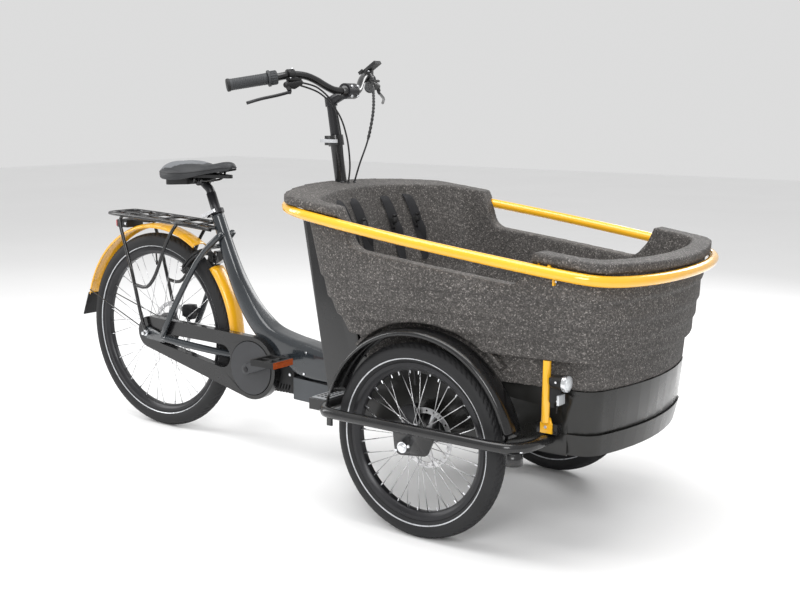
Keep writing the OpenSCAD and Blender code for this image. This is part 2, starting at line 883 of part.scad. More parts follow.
// The room that the beam sweeps, seen from the front unit, as it steers.
module steer_room(top) {
    reach = 450;
    beam_room = 50;
    edge = beam_room / cos(steer_limit);
    translate([0, 0, 100]) linear_extrude(top - 100) polygon([
        [pivot_x + 56, -edge], [pivot_x + 56, edge], [pivot_x, edge],
        [pivot_x - reach, edge + reach * tan(steer_limit)],
        [pivot_x - reach, -edge - reach * tan(steer_limit)], [pivot_x, -edge]
    ]);
}

// A plan section of the shell behind the box: a shallow keel with bevelled sides.
module shell_plan(t, inset) {
    top = [[765, 0], [773, 90], [797, 190], [846, 252], [1010, 268]];
    low = [[826, 0], [846, 90], [900, 190], [918, 213], [1070, 238]];
    half = [for (i = [0 : len(top) - 1]) top[i] * (1 - t) + low[i] * t];
    other = [for (i = [len(half) - 1 : -1 : 1]) [half[i][0], -half[i][1]]];
    offset(delta = -inset) polygon(concat(other, half));
}

shell_top = 852;
shell_low = 264;

module shell_body(inset, forward) {
    hull() {
        translate([forward, 0, shell_top]) linear_extrude(0.2) shell_plan(0, inset);
        translate([forward, 0, shell_low]) linear_extrude(0.2) shell_plan(1, inset);
    }
}

module column_shell() {
    sheet = 3.5;
    color(black) difference() {
        shell_body(0, 0);
        hull() {
            shell_body(sheet, 0);
            shell_body(sheet, 60);
        }
        box_outside(1);
        steer_room(378);
        above_rim(rail_drop + rail_r + 4);
    }
}

// ---------------------------------------------------------------- front chassis

rail_low = 386;
rail_high = 426;
axle_in = 300;
axle_out = 431;

// One side of the chassis: a long rail, a post down to the axle, and a step by the guard bar.
module chassis_side() {
    box([992, 192, rail_low], [1690, 222, rail_high]);
    box([1305, 196, 262], [1355, 218, rail_low]);
    box([1305, 218, 262], [1355, axle_in, 290]);
    plate_y(axle_in - 8, axle_in) hull() {
        translate([wheelbase, front_wheel_r]) circle(r = 20, $fn = 32);
        translate([1305, 262]) square([50, 50]);
    }
    disc_y(wheelbase, front_wheel_r, front_axle_r, axle_in - 4, axle_out, 32);
    box([996, 192, 300], [1020, 222, rail_low]);
    box([996, 192, 298], [1020, 262, 318]);
    box([976, 256, 288], [1032, 372, 318]);
    box([1640, 192, 320], [1696, 222, rail_high]);
    box([1640, 222, 320], [1696, 296, 346]);
}

module front_chassis() {
    lug_top = rail_high;
    color(dark_grey) difference() {
        union() {
            mirrored() chassis_side();
            for (x = [996, 1300, 1650])
                box([x, -192, rail_low], [x + 36, 192, rail_high]);
            box([pivot_x - 40, -192, rail_low], [pivot_x + 60, 192, rail_high]);
            translate([pivot_x, 0, head_high + 2])
                cylinder(r = 42, h = lug_top - head_high - 2, $fn = 64);
            translate([pivot_x, 0, head_low - 26]) cylinder(r = 36, h = 24, $fn = 64);
            box([pivot_x, -34, head_low - 26], [pivot_x + 60, 34, head_low - 2]);
            box([pivot_x + 44, -34, head_low - 26], [pivot_x + 60, 34, rail_low]);
            box([819, -48, rail_low + 6], [1000, 48, rail_high]);
            bar(column_point(400), column_point(column_top), column_r, 48);
            bar(column_point(column_top - 30), column_point(column_top), column_r + 6, 48);
            translate(column_point(collar_mid) + [-36, -9, -14]) cube([22, 18, 28]);
        }
        translate([pivot_x, 0, head_low - 30])
            cylinder(r = kingpin_r + run_gap, h = head_high - head_low + 56, $fn = 48);
        bar(column_point(630), column_point(column_top + 10), stem_r + run_gap, 48);
        translate(column_point(collar_mid) + [-42, -1.5, -20]) cube([30, 3, 60]);
    }
}

// The lever of the column's collar, which holds the stem at its height.
collar_mid = column_top - 15;

module stem_lever() {
    color(silver) translate(column_point(collar_mid) + [-27, 0, 0]) clamp_lever();
}

// The skirt closes the front under the box: an upper panel and a lower band with a gap between.
module skirt_ring(z0, z1, inset0, inset1) {
    sheet = 4;
    difference() {
        hull() {
            slab(z1 - 0.2, inset1, 0, -12);
            slab(z0, inset0, 0, -12);
        }
        hull() {
            slab(z1 + 1, inset1 + sheet, 0, -12);
            slab(z0 - 1, inset0 + sheet, 0, -12);
        }
        box([700, -600, 0], [1700, 600, 600]);
    }
}

module front_skirt() {
    side_y = 272.7;
    side_t = 3;
    color(black) {
        skirt_ring(324, box_bottom_z - 0.5, 84, 74);
        skirt_ring(266, 321, 92, 80);
        skirt_ring(300, 333, 86.5, 84.5);
        mirrored() {
            box([1690.5, 172, 400], [1800, 192, 420]);
            plate_y(side_y, side_y + side_t)
                polygon([[1042, 340], [1096, 266], [1712, 266], [1712, box_bottom_z - 0.5],
                    [1042, box_bottom_z - 0.5]]);
        }
    }
}

module front_fenders() {
    color(black) mirrored()
        fender_arc(wheelbase, half_track, front_wheel_r, 293, 37, 12, 163);
}

// Each guard bar runs outside its wheel and turns in at both ends. A bracket under it carries the
// axle's outer end.
guard_path = [
    [1036, 262, 303], [1037, 318, 304], [1042, 372, 305], [1066, 412, guard_z],
    [1115, guard_y, guard_z], [1360, guard_y, guard_z], [1590, guard_y, guard_z],
    [1638, 413, guard_z], [1662, 376, guard_z], [1668, 320, 305], [1668, 240, 305]
];

module guard_bars() {
    color(black) mirrored() {
        tube(smooth(guard_path, 3), 14, [0, 0, 1], 14);
        difference() {
            plate_y(guard_y - 4, guard_y + 4) hull() {
                translate([1302, 284]) square([120, 10]);
                translate([wheelbase - 4, 256]) circle(r = 20, $fn = 32);
                translate([1396, 256]) circle(r = 12, $fn = 32);
            }
            disc_y(wheelbase, front_wheel_r, front_axle_r + run_gap, 400, 440, 32);
        }
        box([1084, guard_y - 3, 272], [1100, guard_y + 3, 296]);
        translate([1636, 400, 262]) cylinder(r = 24, h = 30, $fn = 48);
        bar([1608, 386, 312], [1612, 414, 306], 4);
        bar([1056, 386, 338], [1064, 404, 312], 4);
    }
}

// The yellow struts stand on the chassis and run up inside the box.
module rail_struts() {
    color(yellow) mirrored() {
        difference() {
            plate_y(296.5, 301) polygon([[1652, 322], [1684, 322], [1684, 346], [1678, 362],
                [1660, 362], [1652, 346]]);
            disc_y(1668, 338, 4, 280, 310, 24);
        }
        bar([1669, 307, 352], [1672, 309, 505.5], 10, 32);
    }
    color(silver) mirrored() disc_y(1668, 338, 3.9, 296.5, 304, 24);
}

// A lamp on each strut, facing forwards, with a reflector under it.
module headlights() {
    color(black) mirrored() {
        translate([1692, 318, 458]) rotate([0, 90, 0]) cylinder(r1 = 15, r2 = 20, h = 38, $fn = 48);
        box([1682.5, 306, 450], [1700, 318, 466]);
        box([1682.5, 306, 404], [1712, 314, 450]);
    }
    color(silver) mirrored() {
        translate([1730, 318, 458]) rotate([0, 90, 0]) cylinder(r = 18, h = 6, $fn = 48);
        box([1712, 301, 404], [1718, 331, 428]);
    }
}

// Depth of the box's back wall on the inside, at a given height and distance from the middle.
function inside_back(y, z) =
    841 + (1000 - z) * (945 - 841) / 390 + y * y / 1080;

// Shoulder belts hang from their slots down the back wall, two for each child.
module child_harness() {
    color([0.3, 0.3, 0.32]) for (y = belt_slots_y) {
        hull() {
            translate([inside_back(abs(y) + 16, 836), y - 16, 836]) cube([2, 32, 4]);
            translate([inside_back(abs(y) + 16, 640) + 6, y - 16, 640]) cube([2, 32, 4]);
        }
        translate([inside_back(abs(y) + 16, 700) + 8, y - 22, 690]) cube([8, 44, 34]);
    }
}

module front_calipers() {
    color(black) mirrored() difference() {
        plate_y(304, 334)
            polygon([[1250, 300], [1268, 276], [1300, 292], [1312, 322], [1290, 340], [1260, 330]]);
        disc_y(wheelbase, front_wheel_r, 82, 317, 325, 96);
    }
}

module front_wheel_part(side) {
    translate([0, side * half_track, 0]) mirror([0, side > 0 ? 0 : 1, 0]) children();
}

// A front hub, with its brake rotor on the inboard face.
module front_hub() {
    color(black) turned_y(wheelbase, front_wheel_r)
        polygon([
            [front_axle_r + run_gap, -38], [front_axle_r + run_gap, 36], [14, 36], [16, 24],
            [27, 22], [27, 18], [15, 14], [15, -14], [27, -18], [27, -22], [17, -25], [12, -38]
        ]);
    color(silver) translate([0, -34, 0]) rotor(wheelbase, 0, front_wheel_r, 80);
}

module right_tyre() { front_wheel_part(-1) tyre(wheelbase, 0, front_wheel_r); }
module right_rim() { front_wheel_part(-1) rim(wheelbase, 0, front_wheel_r); }
module right_spokes() { front_wheel_part(-1) spokes(wheelbase, 0, front_wheel_r, 23, 20); }
module right_hub() { front_wheel_part(-1) front_hub(); }
module left_tyre() { front_wheel_part(1) tyre(wheelbase, 0, front_wheel_r); }
module left_rim() { front_wheel_part(1) rim(wheelbase, 0, front_wheel_r); }
module left_spokes() { front_wheel_part(1) spokes(wheelbase, 0, front_wheel_r, 23, 20); }
module left_hub() { front_wheel_part(1) front_hub(); }

// ---------------------------------------------------------------- handlebar

// The bar's right half from the clamp outwards, drawn for Y > 0 and mirrored.
bar_line = [
    bar_centre, [818, 30, 1142], [810, 58, 1145], [798, 82, 1157], [786, 104, 1171],
    [772, 132, 1183], [757, 162, 1187], [747, 190, 1185]
];
grip_in = [738, 214, 1180];
grip_out = [975 - bar_half_w, bar_half_w, 1156.5];
grip_axis = unit(grip_out - grip_in);

// The post leans with the column. An arm at its top reaches forward to the bar's clamp.
module stem_post() {
    post_top = column_point(1124);
    color(black) {
        bar(column_point(710), post_top, stem_r, 48);
        bar(column_point(1098), post_top, 18, 48);
        difference() {
            union() {
                bar(column_point(1112), bar_centre - [4, 0, 0], 15, 48);
                disc_y(bar_centre[0], bar_centre[2], 23, -22, 22);
            }
            disc_y(bar_centre[0], bar_centre[2], 16, -30, 30);
        }
    }
}

module handlebar() {
    half = concat(bar_line, [grip_in, grip_out]);
    other = [for (i = [len(half) - 1 : -1 : 1]) [half[i][0], -half[i][1], half[i][2]]];
    color(black) {
        tube(smooth(concat(other, half), 3), 11, [0, 0, 1], 14);
        disc_y(bar_centre[0], bar_centre[2], 15.9, -30, 30);
    }
}

module grip(from, to) {
    r_in = 11.3;
    difference() {
        union() {
            bar(grip_in + grip_axis * from, grip_in + grip_axis * to, 16.5, 32);
            bar(grip_in + grip_axis * (to - 9), grip_in + grip_axis * to, 18.5, 32);
        }
        bar(grip_in + grip_axis * (from - 5), grip_in + grip_axis * (to - 4), r_in, 32);
    }
}

module bar_grips() {
    reach = norm(grip_out - grip_in);
    color(dark_grey) {
        grip(4, reach + 5);
        mirror([0, 1, 0]) grip(32, reach + 5);
    }
}

// The right grip's inner part turns to change gear.
module twist_shifter() {
    color(mid_grey) mirror([0, 1, 0]) difference() {
        union() {
            bar(grip_in + grip_axis * 4, grip_in + grip_axis * 31, 19, 48);
            bar(grip_in + grip_axis * 24, grip_in + grip_axis * 31, 23, 48);
        }
        bar(grip_in - grip_axis * 5, grip_in + grip_axis * 40, 12.6, 48);
    }
}

// Brake bodies on both sides, and the display by the left grip.
lever_pivot = [772, 208, 1150];
lever_tip = [709, 315, 1107];

module bar_controls() {
    color(black) {
        mirrored() {
            difference() {
                bar([754, 168, 1186.5], [747, 186, 1185], 17, 32);
                bar([760, 152, 1187.5], [741, 202, 1183.5], 11.6, 32);
            }
            hull() {
                translate([768, 172, 1173]) sphere(r = 8, $fn = 24);
                translate([780, 168, 1165]) sphere(r = 8, $fn = 24);
                translate([766, 212, 1158]) sphere(r = 9, $fn = 24);
                translate([774, 188, 1154]) sphere(r = 8, $fn = 24);
            }
        }
        translate([730, 180, 1193]) rotate([0, -33, 0]) cube([62, 32, 10]);
        translate([742, 188, 1190]) cube([16, 14, 18]);
    }
}

module brake_lever() {
    start = lever_pivot + [3, 0, -12];
    pull = [-50, 0, 45];
    hinge = unit(cross(lever_tip - start, pull));
    color(black) {
        tube(smooth([start, [758, 246, 1128], [736, 284, 1119], lever_tip], 4), 4.5, [0, 0, 1], 12);
        bar(start - hinge * 4, start + hinge * 4, 4.7);
    }
}

module brake_lever_left() { brake_lever(); }
module brake_lever_right() { mirror([0, 1, 0]) brake_lever(); }

// Hydraulic hoses and the shifter's cable, from the bar to the rim behind the box.
hose_routes = [
    [[780, -163, 1165], [800, -114, 1150], [814, -64, 1106], [816, -38, 1040], [820, -28, 950],
        [816, -26, 876]],
    [[775, -168, 1158], [802, -106, 1134], [824, -54, 1080], [832, -24, 1010], [834, -12, 930],
        [826, -10, 874.5]],
    [[780, 163, 1165], [814, 128, 1140], [842, 90, 1080], [850, 54, 1000], [838, 30, 930],
        [822, 24, 875]]
];

module brake_hoses() {
    color(black) for (route = hose_routes)
        tube(smooth(route, 3), 2.6, [1, 1, 0], 8);
}

// ---------------------------------------------------------------- output

place() main_frame();
place() rear_stays();
place() battery_cover();
place() battery_pack();
place() drive_motor();
place() steering_pin();
place() rear_rack();
place() rear_light();
place() rear_fender();
place() mudflap();
place() fender_stays();
place() frame_lock();
place() belt_guard();
place() drive_belt();
place() rear_axle();
place() rear_caliper();
place() seat_collar();
place() lock_shackle();
place() seat_lever();
place() seatpost();
place() saddle_rails();
place() saddle_base();
place() saddle_pad();
place() crank_set();
place() front_pulley();
place() pedal_right();
place() pedal_left();
place() rear_pulley();
place() rear_tyre();
place() rear_rim();
place() rear_spokes();
place() rear_hub();
place() cargo_box();
place() box_rail();
place() column_shell();
place() front_chassis();
place() front_skirt();
place() front_fenders();
place() guard_bars();
place() rail_struts();
place() headlights();
place() child_harness();
place() front_calipers();
place() brake_hoses();
place() right_tyre();
place() right_rim();
place() right_spokes();
place() right_hub();
place() left_tyre();
place() left_rim();
place() left_spokes();
place() left_hub();
place() stem_post();
place() handlebar();
place() bar_grips();
place() bar_controls();
place() twist_shifter();
place() brake_lever_right();
place() brake_lever_left();
place() stem_lever();
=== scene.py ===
import json
import math

import bmesh
import bpy
from mathutils import Matrix, Vector


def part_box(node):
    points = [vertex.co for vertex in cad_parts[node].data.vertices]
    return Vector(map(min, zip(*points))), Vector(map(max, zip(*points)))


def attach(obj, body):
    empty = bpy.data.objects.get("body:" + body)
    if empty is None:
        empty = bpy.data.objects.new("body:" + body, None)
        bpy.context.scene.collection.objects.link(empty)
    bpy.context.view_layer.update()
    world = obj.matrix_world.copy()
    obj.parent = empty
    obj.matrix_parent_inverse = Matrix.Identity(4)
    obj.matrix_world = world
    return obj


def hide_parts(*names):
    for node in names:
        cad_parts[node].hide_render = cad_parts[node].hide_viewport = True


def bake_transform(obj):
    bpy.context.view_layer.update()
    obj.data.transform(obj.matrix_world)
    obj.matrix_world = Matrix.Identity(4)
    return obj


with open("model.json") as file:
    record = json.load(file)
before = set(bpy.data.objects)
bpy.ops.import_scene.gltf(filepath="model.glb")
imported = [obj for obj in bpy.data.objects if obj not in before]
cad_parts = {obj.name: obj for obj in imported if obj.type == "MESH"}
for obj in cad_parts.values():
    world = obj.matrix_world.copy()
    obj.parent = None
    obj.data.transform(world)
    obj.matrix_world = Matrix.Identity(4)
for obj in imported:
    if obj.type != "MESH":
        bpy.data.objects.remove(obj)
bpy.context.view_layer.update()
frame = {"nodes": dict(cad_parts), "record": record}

# Every point below is measured from the ground under the rear axle: forwards, left and up, in mm.
axle_low, axle_high = (Vector(c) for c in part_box("rear_axle"))
REAR_X = (axle_low.x + axle_high.x) / 2
REAR_Z = (axle_low.z + axle_high.z) / 2 * 1000
wheel_low, wheel_high = (Vector(c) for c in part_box("right_tyre"))
FRONT_X = ((wheel_low.x + wheel_high.x) / 2 - REAR_X) * 1000
FRONT_Z = (wheel_low.z + wheel_high.z) / 2 * 1000
HALF_TRACK = -(wheel_low.y + wheel_high.y) / 2 * 1000
TYRE_R = 27
X, Y, Z = Vector((1, 0, 0)), Vector((0, 1, 0)), Vector((0, 0, 1))


def at(x, y, z):
    """A point in mm from the ground under the rear axle, in the row frame."""
    return Vector((REAR_X + x / 1000, y / 1000, z / 1000))


# ---------------------------------------------------------------- materials

def node(tree, kind, **values):
    """A new shader node, with its settings and unlinked inputs given by name."""
    made = tree.nodes.new(kind)
    for key, value in values.items():
        if hasattr(made, key):
            setattr(made, key, value)
        else:
            made.inputs[key.replace("_", " ")].default_value = value
    return made


def grained(name, colour, rough, metal=0.0, coat=0.0, scale=40, vary=0.18, bump=0.15, depth=0.0006,
            stretch=(1, 1, 1), spread=0.1, shine=0.5):
    """A surface with a cloudy tint, uneven roughness and a fine grain."""
    made = bpy.data.materials.new(name)
    made.use_nodes = True
    tree = made.node_tree
    link = tree.links.new
    shader = tree.nodes["Principled BSDF"]
    shader.inputs["Metallic"].default_value = metal
    shader.inputs["Coat Weight"].default_value = coat
    shader.inputs["Specular IOR Level"].default_value = shine
    shader.inputs["Coat Roughness"].default_value = 0.08
    place = node(tree, "ShaderNodeTexCoord")
    mapping = node(tree, "ShaderNodeMapping")
    mapping.inputs["Scale"].default_value = stretch
    link(place.outputs["Object"], mapping.inputs["Vector"])
    cloud = node(tree, "ShaderNodeTexNoise", Scale=scale * 0.2, Detail=6.0, Roughness=0.6)
    grain = node(tree, "ShaderNodeTexNoise", Scale=scale * 12, Detail=3.0, Roughness=0.6)
    for texture in (cloud, grain):
        link(mapping.outputs["Vector"], texture.inputs["Vector"])
    tint = node(tree, "ShaderNodeValToRGB")
    dark, light = tint.color_ramp.elements
    dark.position, light.position = 0.3, 0.7
    dark.color = [c * (1 - vary) for c in colour] + [1]
    light.color = [min(1, c * (1 + vary) + 0.004) for c in colour] + [1]
    link(cloud.outputs["Fac"], tint.inputs["Fac"])
    link(tint.outputs["Color"], shader.inputs["Base Color"])
    gloss = node(tree, "ShaderNodeMapRange", From_Min=0.3, From_Max=0.7,
                 To_Min=max(0.03, rough - spread), To_Max=min(1, rough + spread))
    link(cloud.outputs["Fac"], gloss.inputs["Value"])
    link(gloss.outputs["Result"], shader.inputs["Roughness"])
    relief = node(tree, "ShaderNodeBump", Strength=bump, Distance=depth)
    link(grain.outputs["Fac"], relief.inputs["Height"])
    link(relief.outputs["Normal"], shader.inputs["Normal"])
    return made


def foam(name):
    """Moulded bead foam: dark beads with some light ones, and a shallow seam round each bead that is
    darkened with painted shade.
    """
    made = bpy.data.materials.new(name)
    made.use_nodes = True
    tree = made.node_tree
    link = tree.links.new
    shader = tree.nodes["Principled BSDF"]
    shader.inputs["Roughness"].default_value = 0.72
    shader.inputs["Specular IOR Level"].default_value = 0.35
    place = node(tree, "ShaderNodeTexCoord")
    beads_per_metre = 330.0
    beads = node(tree, "ShaderNodeTexVoronoi", Scale=beads_per_metre)
    seams = node(tree, "ShaderNodeTexVoronoi", feature="DISTANCE_TO_EDGE", Scale=beads_per_metre)
    cloud = node(tree, "ShaderNodeTexNoise", Scale=5.0, Detail=4.0)
    for texture in (beads, seams, cloud):
        link(place.outputs["Object"], texture.inputs["Vector"])
    pick = node(tree, "ShaderNodeSeparateColor")
    link(beads.outputs["Color"], pick.inputs["Color"])
    tint = node(tree, "ShaderNodeValToRGB")
    stops = [(0.0, 0.040), (0.4, 0.062), (0.7, 0.090), (0.9, 0.135), (1.0, 0.24)]
    for position, _ in stops[1:-1]:
        tint.color_ramp.elements.new(position)
    for element, (position, value) in zip(tint.color_ramp.elements, stops):
        element.position = position
        element.color = (value, value * 0.93, value * 0.88, 1)
    link(pick.outputs["Red"], tint.inputs["Fac"])
    # Painted shade: the colour is darkened to 0.6 along each bead's seam, as if the groove lay in shade.
    painted_seam_shade = node(tree, "ShaderNodeMapRange", From_Min=0.0, From_Max=0.1, To_Min=0.6, To_Max=1.0)
    link(seams.outputs["Distance"], painted_seam_shade.inputs["Value"])
    patch = node(tree, "ShaderNodeMapRange", From_Min=0.3, From_Max=0.7, To_Min=0.86, To_Max=1.12)
    link(cloud.outputs["Fac"], patch.inputs["Value"])
    both = node(tree, "ShaderNodeMath", operation="MULTIPLY")
    link(painted_seam_shade.outputs["Result"], both.inputs[0])
    link(patch.outputs["Result"], both.inputs[1])
    mixed = node(tree, "ShaderNodeVectorMath", operation="SCALE")
    link(tint.outputs["Color"], mixed.inputs[0])
    link(both.outputs["Value"], mixed.inputs["Scale"])
    link(mixed.outputs["Vector"], shader.inputs["Base Color"])
    relief = node(tree, "ShaderNodeBump", Strength=0.55, Distance=0.0012)
    link(seams.outputs["Distance"], relief.inputs["Height"])
    link(relief.outputs["Normal"], shader.inputs["Normal"])
    return made


def woven(name, colour, threads):
    """Webbing: fine crossed threads."""
    made = grained(name, colour, 0.8, scale=60, vary=0.2)
    tree = made.node_tree
    link = tree.links.new
    place = tree.nodes["Texture Coordinate"]
    shader = tree.nodes["Principled BSDF"]
    waves = []
    for direction in ("Y", "Z"):
        wave = node(tree, "ShaderNodeTexWave", bands_direction=direction, Scale=threads)
        link(place.outputs["Object"], wave.inputs["Vector"])
        waves.append(wave)
    both = node(tree, "ShaderNodeMath", operation="MAXIMUM")
    for k, wave in enumerate(waves):
        link(wave.outputs["Fac"], both.inputs[k])
    relief = node(tree, "ShaderNodeBump", Strength=0.6, Distance=0.0008)
    link(both.outputs["Value"], relief.inputs["Height"])
    link(relief.outputs["Normal"], shader.inputs["Normal"])
    return made


SLATE = grained("slate_paint", (0.015, 0.019, 0.023), 0.22, coat=0.6, scale=30, bump=0.03,
                vary=0.12, shine=0.4)
BLACK_PAINT = grained("black_paint", (0.006, 0.006, 0.0065), 0.26, coat=0.4, bump=0.05, shine=0.35)
SHELL_BLACK = grained("shell_black", (0.0065, 0.0065, 0.007), 0.24, coat=0.4, bump=0.04, shine=0.3)
SHELL_GREY = grained("shell_grey", (0.16, 0.165, 0.17), 0.4, bump=0.08, scale=60)
SKIRT_BLACK = grained("skirt_black", (0.009, 0.0088, 0.008), 0.3, coat=0.2, bump=0.08, shine=0.35)
BLACK_PLASTIC = grained("black_plastic", (0.010, 0.010, 0.0105), 0.5, bump=0.35, depth=0.0008, shine=0.3)
DISC_GREY = grained("disc_grey", (0.030, 0.031, 0.034), 0.4, bump=0.2, shine=0.4)
GREY_PLASTIC = grained("grey_plastic", (0.055, 0.060, 0.066), 0.4, bump=0.2, shine=0.4)
TREAD_GREY = grained("tread_grey", (0.30, 0.31, 0.32), 0.5, bump=0.3, scale=80)
BLACK_ALLOY = grained("black_alloy", (0.016, 0.016, 0.018), 0.32, metal=0.3, bump=0.08, shine=0.4)
ALLOY = grained("alloy", (0.72, 0.73, 0.75), 0.28, metal=1.0, scale=60, vary=0.1, bump=0.1)
STEEL = grained("steel", (0.56, 0.56, 0.57), 0.3, metal=1.0, scale=90, vary=0.12, bump=0.1,
                stretch=(1, 4, 1))
RUBBER = grained("tyre_rubber", (0.013, 0.013, 0.014), 0.62, bump=0.5, depth=0.0007, vary=0.3, shine=0.3)
GRIP_RUBBER = grained("grip_rubber", (0.034, 0.036, 0.039), 0.55, bump=0.5, depth=0.0008, shine=0.35)
HOSE_RUBBER = grained("hose_rubber", (0.010, 0.010, 0.011), 0.42, bump=0.2, scale=120, shine=0.35)
STRIPE = grained("reflective_stripe", (0.50, 0.51, 0.53), 0.3, metal=0.4, scale=200, bump=0.3)
YELLOW = grained("yellow_paint", (0.84, 0.43, 0.012), 0.2, coat=0.7, scale=30, vary=0.05, bump=0.03)
YELLOW_FENDER = grained("yellow_fender", (0.82, 0.41, 0.012), 0.26, coat=0.5, scale=30, vary=0.07,
                        bump=0.05)
VINYL = grained("vinyl", (0.019, 0.020, 0.022), 0.45, scale=50, bump=0.6, depth=0.0009, shine=0.4)
PALE_VINYL = grained("pale_vinyl", (0.12, 0.126, 0.135), 0.42, scale=50, bump=0.6, depth=0.0009)
WEBBING = woven("webbing", (0.010, 0.010, 0.012), 260.0)
FOAM = foam("bead_foam")
RED_LENS = grained("red_lens", (0.42, 0.010, 0.012), 0.15, coat=0.6, scale=90, bump=0.5, depth=0.001)
AMBER = grained("amber_reflector", (0.40, 0.07, 0.01), 0.2, coat=0.6, scale=140, bump=0.6)
CLEAR = grained("clear_reflector", (0.62, 0.64, 0.66), 0.15, metal=0.5, scale=140, bump=0.6)
SCREEN = grained("screen_glass", (0.010, 0.012, 0.015), 0.08, coat=1.0, bump=0.02)


# ---------------------------------------------------------------- geometry

class Shape:
    """Collects rings, sweeps and blocks, and becomes one object."""

    def __init__(self):
        self.verts = []
        self.faces = []
        self.slots = []

    def add(self, verts, faces, slot=0):
        """Adds points and the faces between them, in one material slot."""
        start = len(self.verts)
        self.verts += [Vector(v) for v in verts]
        self.faces += [[start + i for i in face] for face in faces]
        self.slots += [slot] * len(faces)

    def rings(self, rings, slot=0, caps=True):
        """Joins equal rings of points, and closes the ends."""
        n, m = len(rings[0]), len(rings)
        faces = []
        for i in range(m - 1):
            a, b = i * n, (i + 1) * n
            for j in range(n):
                k = (j + 1) % n
                faces.append([a + j, a + k, b + k, b + j])
        if caps:
            faces.append(list(range(n))[::-1])
            faces.append([(m - 1) * n + j for j in range(n)])
        self.add([p for ring in rings for p in ring], faces, slot)

    def tube(self, points, radius, sides=16, slot=0):
        """A tube along points. radius is a number, or a function of the share of the way along."""
        points = [Vector(p) for p in points]
        m = len(points)
        side = None
        rings = []
        for i, p in enumerate(points):
            along = (points[min(i + 1, m - 1)] - points[max(i - 1, 0)]).normalized()
            if side is None:
                side = along.cross(Z if abs(along.z) < 0.9 else X).normalized()
            side = (side - along * side.dot(along)).normalized()
            other = along.cross(side)
            r = radius(i / (m - 1)) if callable(radius) else radius
            rings.append([p + side * r * math.cos(t) + other * r * math.sin(t)
                          for t in (2 * math.pi * k / sides for k in range(sides))])
        self.rings(rings, slot)

    def turned(self, centre, axis, profile, sides=48, slot=0):
        """A profile of (radius, offset along the axis) turned about an axis."""
        axis = Vector(axis).normalized()
        side = axis.cross(Z if abs(axis.z) < 0.9 else X).normalized()
        other = axis.cross(side)
        rings = []
        for r, offset in profile:
            rings.append([Vector(centre) + axis * offset + (side * math.cos(t) + other * math.sin(t)) * r
                          for t in (2 * math.pi * k / sides for k in range(sides))])
        self.rings(rings, slot)

    def band(self, points, width, thick, side, twist=0.0, slot=0):
        """A flat strap along points. side is its width's direction, turned by up to `twist` radians."""
        points = [Vector(p) for p in points]
        rings = []
        for i, p in enumerate(points):
            along = (points[min(i + 1, len(points) - 1)] - points[max(i - 1, 0)]).normalized()
            share = i / (len(points) - 1)
            across = (Vector(side) - along * along.dot(side)).normalized()
            across.rotate(Matrix.Rotation(twist * math.sin(math.pi * share), 3, along))
            face = along.cross(across)
            rings.append([p + across * width * u + face * thick * v for u, v in
                          ((-0.5, -0.3), (-0.46, -0.5), (0.46, -0.5), (0.5, -0.3),
                           (0.5, 0.3), (0.46, 0.5), (-0.46, 0.5), (-0.5, 0.3))])
        self.rings(rings, slot)

    def rod(self, a, b, r, bevel=0.0006, sides=24, slot=0):
        """A straight round piece with softened ends."""
        a, b = Vector(a), Vector(b)
        length = (b - a).length
        bevel = min(bevel, r * 0.4, length * 0.3)
        self.turned(a, b - a, [(r - bevel, 0), (r, bevel), (r, length - bevel), (r - bevel, length)],
                    sides, slot)

    def bolt(self, centre, axis, r, height, slot=0):
        """A round bolt head with a six-sided socket."""
        axis = Vector(axis).normalized()
        self.turned(centre, axis, [(r, 0), (r, height * 0.6), (r * 0.8, height), (r * 0.5, height)],
                    24, slot)
        self.turned(Vector(centre) + axis * height * 1.02, axis, [(r * 0.48, 0), (r * 0.4, -height * 0.5)],
                    6, slot)

    def block(self, centre, size, bevel=0.001, turn=None, slot=0):
        """A box with softened edges."""
        mesh = bmesh.new()
        bmesh.ops.create_cube(mesh, size=1)
        for v in mesh.verts:
            v.co = Vector(a * b for a, b in zip(v.co, size))
        bmesh.ops.bevel(mesh, geom=mesh.edges[:], offset=min(bevel, min(size) * 0.3), segments=2,
                        profile=0.7, affect="EDGES")
        matrix = Matrix.Translation(centre) @ (turn or Matrix.Identity(4))
        self.add([matrix @ v.co for v in mesh.verts], [[v.index for v in f.verts] for f in mesh.faces],
                 slot)
        mesh.free()

    def object(self, name, body, materials, replaces=(), angle=40):
        """One object of all that was added. A body of None leaves it unparented."""
        data = bpy.data.meshes.new(name)
        data.from_pydata([tuple(v) for v in self.verts], [], self.faces)
        for made in materials:
            data.materials.append(made)
        data.polygons.foreach_set("material_index", self.slots)
        data.update()
        made = bpy.data.objects.new(name, data)
        bpy.context.collection.objects.link(made)
        tidy_mesh(made, angle)
        if body:
            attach(made, body)
        if replaces:
            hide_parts(*replaces)
        return made


def tidy_mesh(obj, angle=40, weld=0.00001):
    """Joins doubled points, faces everything outwards, and shades it smooth below an angle."""
    mesh = bmesh.new()
    mesh.from_mesh(obj.data)
    bmesh.ops.remove_doubles(mesh, verts=mesh.verts[:], dist=weld)
    bmesh.ops.recalc_face_normals(mesh, faces=mesh.faces[:])
    mesh.to_mesh(obj.data)
    mesh.free()
    obj.data.polygons.foreach_set("use_smooth", [True] * len(obj.data.polygons))
    obj.data.set_sharp_from_angle(angle=math.radians(angle))


def smooth(points, steps=8):
    """An open Catmull-Rom curve through the points."""
    points = [Vector(p) for p in points]
    n = len(points)
    out = []
    for i in range(n - 1):
        a = points[max(i - 1, 0)]
        b = points[i]
        c = points[i + 1]
        d = points[min(i + 2, n - 1)]
        for k in range(steps):
            t = k / steps
            out.append(0.5 * (2 * b + (c - a) * t + (2 * a - 5 * b + 4 * c - d) * t * t
                              + (3 * b - a - 3 * c + d) * t ** 3))
    out.append(points[-1])
    return out


def path(points, steps=8):
    """A smooth curve through points in mm from the ground under the rear axle."""
    return smooth([at(*p) for p in points], steps)


